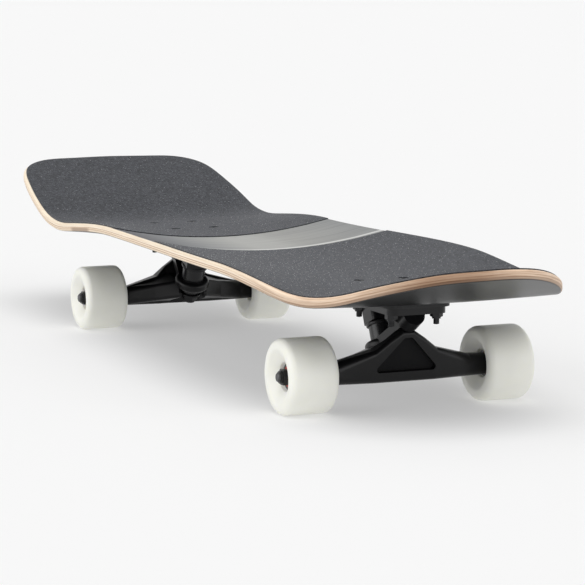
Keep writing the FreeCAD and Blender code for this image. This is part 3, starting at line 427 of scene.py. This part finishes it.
# %% [markdown]
# ## Deck: stained band
# Between the two grip sheets the top veneer lies open. It is stained grey, with fine streaks across the
# board, and one thin pale line runs across it near its front edge. The stain could be one flat grey, but
# the photo's band is darker towards the board's right side. So a ramp across the board gives its tone, and
# stretched noise gives its streaks.

# %% Deck: band
BAND_ACROSS = (-115.0, 110.0)
BAND_TONES = [
    (0.0, (0.05, 0.05, 0.06, 1)), (0.22, (0.165, 0.17, 0.175, 1)), (0.50, (0.35, 0.35, 0.335, 1)),
    (0.75, (0.33, 0.33, 0.32, 1)), (1.0, (0.27, 0.275, 0.275, 1))]
STREAK_TONES = [(0.35, (0.82, 0.82, 0.82, 1)), (0.65, (1.12, 1.12, 1.1, 1))]
STREAK_STRETCH, STREAK_SHARE = (0.35, 0.01, 0.05), 0.6
LINE_AT, LINE_ALONG, LINE_PALE = 8.0, (4.5, 1.5), (0.72, 0.72, 0.70, 1)
LINE_ACROSS, LINE_FAINT, LINE_CLEAR = (-110.0, -70.0), 0.3, 0.7

streak = noise(tree, place, scale=1.0, detail=6.0, stretch=STREAK_STRETCH)
band = ramp(tree, span(tree, across, *BAND_ACROSS, smooth=False), BAND_TONES)
band = blend(tree, STREAK_SHARE, band, ramp(tree, streak, STREAK_TONES), "MULTIPLY")
line = span(tree, away(tree, along, LINE_AT), *LINE_ALONG)
line = product(tree, line, span(tree, across, *LINE_ACROSS, LINE_FAINT, LINE_CLEAR))
band = blend(tree, line, band, LINE_PALE)
print("pale line at", LINE_AT, "mm")

# %% [markdown]
# ## Deck: its skins together
# A clear coat seals the real deck. It shines most on the dark underside, less on the bare edge, and the
# border painted near black is matt. A single gloss would be simpler, but the border would then shine like the
# underside.
# So the masks from above choose both the colour and the roughness.

# %% Deck: colour and gloss
BAND_MIDDLE, BAND_HALF, BAND_SOFT = -46.0, 65.0, 2.0
# Near-black colour painted on the far side and tail border: partly the grip's dark edge, partly painted shade.
BORDER_GRIP_AND_SHADE = (0.012, 0.012, 0.013, 1)
LACQUER_DARK, LACQUER_LIGHT = (0.006, 0.0065, 0.007, 1), (0.010, 0.0105, 0.011, 1)
EDGE_ROUGH, LACQUER_ROUGH, MATT = 0.5, 0.3, 0.95
DECK_SHINE = 0.22
EDGE_BUMP, EDGE_HEIGHT = 0.12, 0.0003

from_band = away(tree, along, BAND_MIDDLE)
in_band = span(tree, from_band, BAND_HALF + BAND_SOFT, BAND_HALF)
# Here the far side and tail border get their near-black colour, partly painted shade.
border = blend(tree, far_grip_edge_and_shade, wood, BORDER_GRIP_AND_SHADE)
skin = blend(tree, on_top, wood, blend(tree, in_band, border, band))
lacquer = blend(tree, grain, LACQUER_DARK, LACQUER_LIGHT)
gloss = between(tree, below, EDGE_ROUGH, LACQUER_ROUGH)
put(shader.inputs["Base Color"], tree, blend(tree, below, skin, lacquer))
put(shader.inputs["Roughness"], tree, between(tree, product(tree, far_grip_edge_and_shade, on_top), gloss, MATT))
put(shader.inputs["Normal"], tree, bump(tree, grain, EDGE_BUMP, EDGE_HEIGHT))
shader.inputs["Specular IOR Level"].default_value = DECK_SHINE
print("deck material has", len(tree.nodes), "nodes")

# %% [markdown]
# ## Grip tape
# Grip tape is a dark sheet of glued grit. Its grains scatter the light in all directions, some clumps are
# darker than others, and the cut edges that face away from the light are painted darker, as painted shade.
# Modelling every grain would take millions of faces, so noise and cells stand for most of them, and a bump
# breaks up the light. The few large grains come later.

# %% Grip tape: tone of the grit
GRIT_TONES = [
    (0.28, (0.014, 0.015, 0.018, 1)), (0.52, (0.030, 0.032, 0.037, 1)),
    (0.66, (0.07, 0.072, 0.08, 1)), (0.76, (0.24, 0.24, 0.25, 1))]
CLUMP_SCALE, CLUMP_TONES = 0.4, [(0.0, (0.55, 0.55, 0.56, 1)), (1.0, (1.6, 1.6, 1.6, 1))]
WEAR_SCALE, WEAR_TONES = 0.05, [(0.3, (0.75, 0.75, 0.76, 1)), (0.7, (1.1, 1.1, 1.1, 1))]
WEAR_SHARE = 0.35

grip_material, tree, shader = material("grip")
place = use(tree, depth_group)["Place"]
speck = noise(tree, place, scale=0.55, detail=4.0, roughness=0.75)
tone = ramp(tree, speck, GRIT_TONES)
cells = add(tree, "ShaderNodeTexVoronoi", {"Vector": place, "Scale": CLUMP_SCALE}).outputs["Color"]
clump = add(tree, "ShaderNodeSeparateColor", {0: cells}).outputs[0]
tone = blend(tree, 1.0, tone, ramp(tree, clump, CLUMP_TONES), "MULTIPLY")
wear = noise(tree, place, scale=WEAR_SCALE, detail=3.0)
tone = blend(tree, WEAR_SHARE, tone, ramp(tree, wear, WEAR_TONES), "MULTIPLY")
print("grit tones", len(GRIT_TONES))

# %% [markdown]
# ## Grip tape: face and cut edge
# A grip sheet's face takes the light, and its cut edge lies in the shade of its own grit. That shade is
# painted: edges on the far side and at the tail are coloured near black. The sheet could be split into face and
# edge, but the direction that each point faces already tells them apart. A little sheen lifts the tone where
# the sheet is seen at a low angle.

# %% Grip tape: finish
FACE_UP, FACE_RIGHT, FACE_NOSE = (0.3, 0.8), (-0.4, -0.7), (0.55, 0.8)
# Near-black colour painted as shade on grip edges that face away from the light.
CUT_EDGE_SHADE = (0.012, 0.012, 0.013, 1)
GRIT_SCALE, GRIT_BUMP, GRIT_HEIGHT = 1.1, 0.7, 0.0004
GRIP_VALUES = {
    "Roughness": 0.62, "Specular IOR Level": 0.14, "Sheen Weight": 0.15, "Sheen Roughness": 0.45,
    "Sheen Tint": (0.85, 0.87, 0.92, 1)}


def facing(tree):
    """The direction that the surface faces, as X, Y and Z."""
    return split(tree, add(tree, "ShaderNodeNewGeometry").outputs["Normal"])


turned = facing(tree)
lit = calc(tree, "MAXIMUM", span(tree, turned["Z"], *FACE_UP), span(tree, turned["Y"], *FACE_RIGHT))
lit = calc(tree, "MAXIMUM", lit, span(tree, turned["X"], *FACE_NOSE))
grit = add(tree, "ShaderNodeTexVoronoi", {"Vector": place, "Scale": GRIT_SCALE}).outputs["Distance"]
# Edges facing away get the painted shade colour in place of the grit's tone.
put(shader.inputs["Base Color"], tree, blend(tree, lit, CUT_EDGE_SHADE, tone))
put(shader.inputs["Normal"], tree, bump(tree, grit, GRIT_BUMP, GRIT_HEIGHT))
for name, value in GRIP_VALUES.items():
    shader.inputs[name].default_value = value
print("grip material has", len(tree.nodes), "nodes")

# %% [markdown]
# ## Trucks, hardware and wheels
# The trucks are castings with a black coat, the hardware is blackened steel, and the wheels are pale
# urethane. Each could have a tree of its own, but they differ only in tone, roughness and grain. So one
# function makes them all from a table, with two close tones for each, so that no surface is one flat
# colour.

# %% Materials of trucks, hardware and wheels
def plain(name, dark, light, rough, strength=0.1, scale=900.0, metal=0.0, shine=0.5):
    """A material between two close tones, with fine grain."""
    made, tree, shader = material(name)
    grain = use(tree, grain_group, {"Scale": scale, "Strength": strength, "Roughness": rough})
    put(shader.inputs["Base Color"], tree, blend(tree, grain["Patch"], (*dark, 1), (*light, 1)))
    put(shader.inputs["Roughness"], tree, grain["Roughness"])
    put(shader.inputs["Normal"], tree, grain["Normal"])
    shader.inputs["Metallic"].default_value = metal
    shader.inputs["Specular IOR Level"].default_value = shine
    return made


FINISHES = {
    "riser_plastic": dict(dark=(0.008, 0.008, 0.009), light=(0.014, 0.014, 0.015), rough=0.5, shine=0.35),
    "black_casting": dict(dark=(0.004, 0.004, 0.0045), light=(0.007, 0.007, 0.0075), rough=0.3,
                          strength=0.12, scale=1400.0, shine=0.28),
    "pivot_cup_plastic": dict(dark=(0.02, 0.02, 0.02), light=(0.03, 0.03, 0.03), rough=0.5),
    "black_steel": dict(dark=(0.014, 0.014, 0.015), light=(0.026, 0.026, 0.027), rough=0.34,
                        strength=0.08, scale=1800.0, metal=0.6),
    "bushing_urethane": dict(dark=(0.006, 0.006, 0.0065), light=(0.01, 0.01, 0.011), rough=0.24,
                             strength=0.05, shine=0.45),
    "axle_steel": dict(dark=(0.06, 0.06, 0.062), light=(0.11, 0.11, 0.112), rough=0.34,
                       strength=0.08, scale=1500.0, metal=1.0),
    "bearing_steel": dict(dark=(0.10, 0.10, 0.105), light=(0.16, 0.16, 0.165), rough=0.24,
                          strength=0.04, metal=1.0),
    "cage_plastic": dict(dark=(0.6, 0.58, 0.5), light=(0.7, 0.68, 0.6), rough=0.5),
    "shield_rubber": dict(dark=(0.42, 0.03, 0.025), light=(0.55, 0.05, 0.04), rough=0.5),
    "wheel_urethane": dict(dark=(0.85, 0.85, 0.78), light=(0.90, 0.90, 0.84), rough=0.42,
                           strength=0.06, scale=700.0),
}
materials = {"deck_maple": deck_material, "grip": grip_material}
for name, finish in FINISHES.items():
    materials[name] = plain(name, **finish)
print("materials", len(materials))

# %% [markdown]
# ## Matt pocket of the hanger
# The hanger's outer face has a satin shine, and the floor of its triangular pocket is matt. The floor could
# be a separate piece with its own material, but the real hanger is one casting. So a mask finds the points
# that lie behind the outer face and look outwards, on both trucks at once, and makes them rougher.

# %% Matt pocket
MIDDLE = (FRONT_AXLE + REAR_AXLE) / 2
HALF_WHEELBASE = (FRONT_AXLE - REAR_AXLE) / 2
AXLE_HEIGHT = spin["front_left_wheel_spin"][2] * MM
FACE_FOOT, FACE_LEAN = 9.6, 6.9 / 44.1
POCKET_TURNED, POCKET_BEHIND = (0.93, 0.97), (3.2, 4.4)

tree = materials["black_casting"].node_tree
shader = find(tree, "BSDF_PRINCIPLED")
along, _, height = split(tree, use(tree, depth_group)["Place"])
from_middle = calc(tree, "SUBTRACT", along, MIDDLE)
outboard = calc(tree, "SUBTRACT", calc(tree, "ABSOLUTE", from_middle), HALF_WHEELBASE)
above_foot = calc(tree, "ADD", calc(tree, "SUBTRACT", height, AXLE_HEIGHT), FACE_FOOT)
outer_face = calc(tree, "MULTIPLY_ADD", above_foot, FACE_LEAN, FACE_FOOT)
behind = calc(tree, "SUBTRACT", outer_face, outboard)
turned_out = product(tree, facing(tree)["X"], calc(tree, "SIGN", from_middle))
pocket = product(tree, span(tree, turned_out, *POCKET_TURNED), span(tree, behind, *POCKET_BEHIND))
satin = shader.inputs["Roughness"].links[0].from_socket
put(shader.inputs["Roughness"], tree, between(tree, pocket, satin, MATT))
print("casting material has", len(tree.nodes), "nodes")

# %% [markdown]
# ## Soft wheels, and every piece its finish
# Urethane lets a little light in, which softens the shade on the wheels. A paler colour alone would look
# like paint, so the shader scatters some light below the surface. Then every solid gets the material of the
# slot that the record names for it.

# %% Wheels and assigning
LIGHT_INSIDE, LIGHT_REACH = 0.25, (0.006, 0.006, 0.004)

urethane = find(materials["wheel_urethane"].node_tree, "BSDF_PRINCIPLED")
urethane.inputs["Subsurface Weight"].default_value = LIGHT_INSIDE
urethane.inputs["Subsurface Radius"].default_value = LIGHT_REACH
slot_of = {row["node"]: row["material_slot"] for row in frame["record"]["subparts"]}
for name, piece in frame["nodes"].items():
    piece.data.materials.clear()
    piece.data.materials.append(materials[slot_of[name]])
print("pieces with a finish", len(slot_of))

# %% [markdown]
# ## Things that repeat
# Threads, bolt faces and grains of grit are the same small shape many times over. Each could be copied by
# hand, but a geometry tree makes all copies from a few named sizes. The export drops instances, so each
# tree ends in real faces with a material. The result is kept as a plain mesh that rides on a body of the
# board.

# %% Helpers: geometry trees
INTEGER, OBJECT, MATERIAL = "NodeSocketInt", "NodeSocketObject", "NodeSocketMaterial"
GEOMETRY = "NodeSocketGeometry"


def geometry_tree(name, inputs):
    """A geometry tree that takes and gives a geometry, with named inputs for its sizes."""
    tree = bpy.data.node_groups.new(name, "GeometryNodeTree")
    tree.is_modifier = True
    tree.interface.new_socket("Geometry", in_out="INPUT", socket_type=GEOMETRY)
    for label, kind in inputs.items():
        tree.interface.new_socket(label, in_out="INPUT", socket_type=kind)
    tree.interface.new_socket("Geometry", in_out="OUTPUT", socket_type=GEOMETRY)
    return tree, tree.nodes.new("NodeGroupInput").outputs, tree.nodes.new("NodeGroupOutput").inputs


def solidified(tree, geometry, finish, out, smooth=True):
    """End a tree: real faces, smooth or flat, with their material."""
    real = add(tree, "GeometryNodeRealizeInstances", {"Geometry": geometry}).outputs[0]
    shaded = add(tree, "GeometryNodeSetShadeSmooth", {"Geometry": real, "Shade Smooth": smooth}).outputs[0]
    coated = add(tree, "GeometryNodeSetMaterial", {"Geometry": shaded, "Material": finish}).outputs[0]
    put(out[0], tree, coated)


def grown(name, points, tree, values, body):
    """Run a geometry tree on some points and keep what it makes as a plain piece of a body."""
    mesh = bpy.data.meshes.new(name)
    mesh.from_pydata(points, [], [])
    piece = bpy.data.objects.new(name, mesh)
    bpy.context.scene.collection.objects.link(piece)
    modifier = piece.modifiers.new(name, "NODES")
    modifier.node_group = tree
    for item in tree.interface.items_tree:
        if item.in_out == "INPUT" and item.name in values:
            modifier[item.identifier] = values[item.name]
    bpy.context.view_layer.update()
    evaluated = piece.evaluated_get(bpy.context.evaluated_depsgraph_get())
    plain_mesh = bpy.data.meshes.new_from_object(evaluated)
    piece.modifiers.clear()
    piece.data = plain_mesh
    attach(piece, body)
    return len(plain_mesh.polygons)


print("geometry helpers ready")

# %% [markdown]
# ## Screw threads
# The open ends of the axles and deck bolts carry threads, which are plain cylinders in the solids. A thread
# could be a bump, but its outline shows against the light. So a small four-sided profile is swept along a
# spiral and placed at every end.

# %% Geometry tree: screw thread
TURN_STEPS, PROFILE_CORNERS = 20, 4

thread_tree, sizes, out = geometry_tree("Screw Thread", {
    "Radius": FLOAT, "Pitch": FLOAT, "Length": FLOAT, "Crest": FLOAT, "Turn": VECTOR, "Material": MATERIAL})
tree = thread_tree
turns = calc(tree, "DIVIDE", sizes["Length"], sizes["Pitch"])
winding = add(tree, "GeometryNodeCurveSpiral", {
    "Resolution": TURN_STEPS, "Rotations": turns, "Start Radius": sizes["Radius"],
    "End Radius": sizes["Radius"], "Height": sizes["Length"]}).outputs[0]
profile = add(tree, "GeometryNodeCurvePrimitiveCircle", {
    "Resolution": PROFILE_CORNERS, "Radius": sizes["Crest"]}).outputs[0]
thread = add(tree, "GeometryNodeCurveToMesh", {
    "Curve": winding, "Profile Curve": profile, "Fill Caps": True}).outputs[0]
copies = add(tree, "GeometryNodeInstanceOnPoints", {
    "Points": sizes["Geometry"], "Instance": thread, "Rotation": sizes["Turn"]}).outputs[0]
solidified(tree, copies, sizes["Material"], out)
print("thread tree has", len(tree.nodes), "nodes")

# %% [markdown]
# ## Where the threads go
# Each truck has two axle ends and four bolts. Their places could be typed in, but they would go wrong if
# the board changed, so they are read from the boxes of the solids. The axle threads ride on their truck,
# and the bolt threads on the board.

# %% Threads of axles and bolts
BOLT_HEAD = 0.0046
BOLT_TAIL = 0.0042
AXLE_TAIL, AXLE_INSET = 0.0019, 0.0006
ALONG_AXLE = (-math.pi / 2, 0.0, 0.0)
UPRIGHT = (0.0, 0.0, 0.0)
bolt_thread = {"Radius": 0.00232, "Pitch": 0.0008, "Length": BOLT_TAIL, "Crest": 0.00028,
               "Turn": UPRIGHT, "Material": materials["black_steel"]}
axle_thread = {"Radius": 0.00388, "Pitch": 0.00106, "Length": AXLE_TAIL - AXLE_INSET, "Crest": 0.00034,
               "Turn": ALONG_AXLE, "Material": materials["axle_steel"]}

bolt_ends, bolt_heads = [], []
for end in ("front", "rear"):
    low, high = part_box(f"{end}_deck_bolts")
    for x in (low.x + BOLT_HEAD, high.x - BOLT_HEAD):
        for y in (low.y + BOLT_HEAD, high.y - BOLT_HEAD):
            bolt_ends.append((x, y, low.z))
            bolt_heads.append((x, y, high.z))
    low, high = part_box(f"{end}_axle")
    middle = (low + high) / 2
    axle_ends = [(middle.x, y, middle.z) for y in (low.y + AXLE_INSET, high.y - AXLE_TAIL)]
    faces = grown(f"{end}_axle_threads", axle_ends, thread_tree, axle_thread, f"{end}_truck")
    print(end, "axle threads", faces)
print("bolt threads", grown("bolt_threads", bolt_ends, thread_tree, bolt_thread, "board"))

# %% [markdown]
# ## Faces of the bolts
# Each deck bolt is tightened from above with a hex key, so its head has a six-sided socket. Cutting the
# socket into the solid isn't possible here, because the solids stay as they are. So a thin face lies on
# each head: a flat disc, and on it a ring whose inner outline is the hexagon.

# %% Geometry tree: bolt face
ROUND_CORNERS, SOCKET_CORNERS = 32, 6
MERGE_WITHIN = 0.00001
UP = (0.0, 0.0, 1.0)


def joined(tree, *parts):
    """Several geometries as one."""
    made = add(tree, "GeometryNodeJoinGeometry")
    for part in parts:
        put(made.inputs[0], tree, part)
    return made.outputs[0]


face_tree, sizes, out = geometry_tree("Bolt Face", {
    "Radius": FLOAT, "Socket": FLOAT, "Floor": FLOAT, "Rim": FLOAT, "Material": MATERIAL})
tree = face_tree
# The disc is centred on the head's top, so half of it sinks in.
disc = add(tree, "GeometryNodeMeshCylinder", {
    "Vertices": ROUND_CORNERS, "Radius": sizes["Radius"],
    "Depth": calc(tree, "MULTIPLY", sizes["Floor"], 2.0)}).outputs["Mesh"]
outlines = [
    add(tree, "GeometryNodeCurvePrimitiveCircle", {"Resolution": corners, "Radius": sizes[label]}).outputs[0]
    for corners, label in ((ROUND_CORNERS, "Radius"), (SOCKET_CORNERS, "Socket"))]
ring = add(tree, "GeometryNodeFillCurve", {"Curve": joined(tree, *outlines)}).outputs[0]
under = add(tree, "GeometryNodeFlipFaces", {"Mesh": ring}).outputs[0]
raised = add(tree, "GeometryNodeExtrudeMesh", {
    "Mesh": ring, "Offset": UP, "Offset Scale": sizes["Rim"], "Individual": False}).outputs["Mesh"]
closed = add(tree, "GeometryNodeMergeByDistance", {
    "Geometry": joined(tree, raised, under), "Distance": MERGE_WITHIN}).outputs[0]
faces_on = add(tree, "GeometryNodeInstanceOnPoints", {
    "Points": sizes["Geometry"], "Instance": joined(tree, disc, closed)}).outputs[0]
solidified(tree, faces_on, sizes["Material"], out, smooth=False)
bolt_face = {"Radius": 0.00475, "Socket": 0.0021, "Floor": 0.00017, "Rim": 0.0004,
             "Material": materials["black_steel"]}
print("bolt faces", grown("bolt_faces", bolt_heads, face_tree, bolt_face, "board"))

# %% [markdown]
# ## Grains of grit
# The largest grains of the grip tape stand up from the sheet and catch the light as bright specks. Bright
# dots in the material could stand for them, but they would not glint as the light moves. So a tree scatters
# small grains over the open face of each sheet. They stay below the board's highest point, so that its size
# is unchanged.

# %% Geometry tree: grit
OPEN_FACE = 0.85
SMALLEST, LARGEST = 0.5, 1.0

grit_tree, sizes, out = geometry_tree("Grit", {
    "Sheet": OBJECT, "Density": FLOAT, "Grain": FLOAT, "Below": FLOAT, "Seed": INTEGER, "Material": MATERIAL})
tree = grit_tree
sheet = add(tree, "GeometryNodeObjectInfo", {"Object": sizes["Sheet"]}, transform_space="RELATIVE")
upwards = split(tree, add(tree, "GeometryNodeInputNormal").outputs[0])["Z"]
level = split(tree, add(tree, "GeometryNodeInputPosition").outputs[0])["Z"]
open_face = product(
    tree, calc(tree, "GREATER_THAN", upwards, OPEN_FACE), calc(tree, "LESS_THAN", level, sizes["Below"]))
spots = add(tree, "GeometryNodeDistributePointsOnFaces", {
    "Mesh": sheet.outputs["Geometry"], "Selection": open_face, "Density": sizes["Density"],
    "Seed": sizes["Seed"]}).outputs["Points"]
grain_mesh = add(tree, "GeometryNodeMeshIcoSphere", {
    "Radius": sizes["Grain"], "Subdivisions": 1}).outputs["Mesh"]
grain_size = add(tree, "FunctionNodeRandomValue", {
    "Min": SMALLEST, "Max": LARGEST, "Seed": sizes["Seed"]}, data_type="FLOAT").outputs["Value"]
grains = add(tree, "GeometryNodeInstanceOnPoints", {
    "Points": spots, "Instance": grain_mesh, "Scale": grain_size}).outputs[0]
solidified(tree, grains, sizes["Material"], out)
print("grit tree has", len(tree.nodes), "nodes")

# %% [markdown]
# ## Grit on the two sheets
# The front sheet is near the camera, so single grains show there, and it gets more of them than the rear
# sheet. The same number everywhere would be simpler, but most of the rear grains would be smaller than a
# pixel. Each sheet has a fixed seed, so that every run scatters the same grains.

# %% Grit on both sheets
GRAIN = 0.00036
GRAINS_PER_AREA = {"front_grip_tape": 20000.0, "rear_grip_tape": 9000.0}

grit_material = plain("grit", dark=(0.3, 0.3, 0.31), light=(0.6, 0.6, 0.6), rough=0.3)
for seed, (name, density) in enumerate(GRAINS_PER_AREA.items()):
    values = {"Sheet": frame["nodes"][name], "Density": density, "Grain": GRAIN, "Seed": seed,
              "Below": start_high.z - 2 * GRAIN, "Material": grit_material}
    print(name, "grit faces", grown(f"{name}_grit", [], grit_tree, values, "board"))

# %% [markdown]
# ## Floor
# The photo's board stands on a pale sweep of paper without a horizon. A curved sheet would do, but a wide
# flat floor as bright as the background hides its edge as well. It gives off a little light of its own, so
# that it stays almost white and still takes the board's soft shadow.

# %% Floor
FLOOR_SIZE = 60.0
FLOOR_VALUES = {
    "Base Color": (0.555, 0.555, 0.555, 1), "Emission Color": WHITE, "Emission Strength": 0.36,
    "Roughness": 0.9, "Specular IOR Level": 0.0}

bpy.ops.mesh.primitive_plane_add(size=FLOOR_SIZE)
floor = bpy.context.object
floor.name = "floor"
floor_material, _, shader = material("floor")
for name, value in FLOOR_VALUES.items():
    shader.inputs[name].default_value = value
floor.data.materials.append(floor_material)
print("floor", tuple(floor.dimensions))

# %% [markdown]
# ## Light
# A studio lights such a board with large soft boxes. Area lamps could copy them, but far lights with a wide
# spread give the same soft shade everywhere and need no placing. One from above makes the shadow below the
# board. One from the board's right brightens the wheels and the edge there, and a weaker one from the nose
# opens up the front truck.

# %% Lights
SUNS = {
    "overhead": {"towards": (-0.38, 0.06, -1.0), "strength": 1.5, "spread": 48},
    "side": {"towards": (0.1, 1.0, -0.4), "strength": 1.15, "spread": 60},
    "front": {"towards": (-1.0, -0.4, -0.22), "strength": 0.8, "spread": 60},
}


def turned_to(direction):
    """The rotation that makes a lamp or camera look along a direction."""
    return Vector(direction).to_track_quat("-Z", "Y").to_euler()


def sun(name, towards, strength, spread):
    """A wide far light shining along a direction."""
    data = bpy.data.lights.new(name, "SUN")
    data.energy = strength
    data.angle = math.radians(spread)
    lamp = bpy.data.objects.new(name, data)
    bpy.context.scene.collection.objects.link(lamp)
    lamp.rotation_euler = turned_to(towards)


for name, values in SUNS.items():
    sun(name, **values)
print("lights", list(SUNS))

# %% [markdown]
# ## Background
# The photo's background is almost white. A world as bright as that would also flood the board with light
# from all sides and wash out its shadow. So the world is bright only where it is seen, straight or as a
# reflection, and lights the board with less than half of that.

# %% World
SKY_SEEN, SKY_LIGHT = 0.947, 0.4

world = bpy.data.worlds.new("studio")
world.use_nodes = True
tree = world.node_tree
sky = find(tree, "BACKGROUND")
sky.inputs["Color"].default_value = WHITE
rays = add(tree, "ShaderNodeLightPath").outputs
seen = calc(tree, "MAXIMUM", rays["Is Camera Ray"], rays["Is Glossy Ray"])
seen = calc(tree, "MAXIMUM", seen, rays["Is Transmission Ray"])
put(sky.inputs["Strength"], tree, between(tree, seen, SKY_LIGHT, SKY_SEEN))
bpy.context.scene.world = world
print("world nodes", len(tree.nodes))

# %% [markdown]
# ## Camera
# The photo was taken from beyond the nose, a little above the deck and off its right side. Its lines hardly
# converge, so the lens is long and stands far away. Place, direction and lens were fitted to the wheels and
# bolts in the photo, because a camera set by eye would leave them some pixels off.

# %% Camera
SENSOR, LENS = 36.0, 147.2
CAMERA_AT = (2.08286, -0.858416, 0.360752)
CAMERA_TOWARDS = (-0.91207, 0.38808, -0.13234)
FARTHEST = 100.0

camera_data = bpy.data.cameras.new("camera")
camera_data.sensor_width = SENSOR
camera_data.lens = LENS
camera_data.clip_end = FARTHEST
camera = bpy.data.objects.new("camera", camera_data)
bpy.context.scene.collection.objects.link(camera)
camera.location = CAMERA_AT
camera.rotation_euler = turned_to(CAMERA_TOWARDS)
bpy.context.scene.camera = camera
bpy.context.scene.view_settings.view_transform = "Standard"
print("camera at", CAMERA_AT)
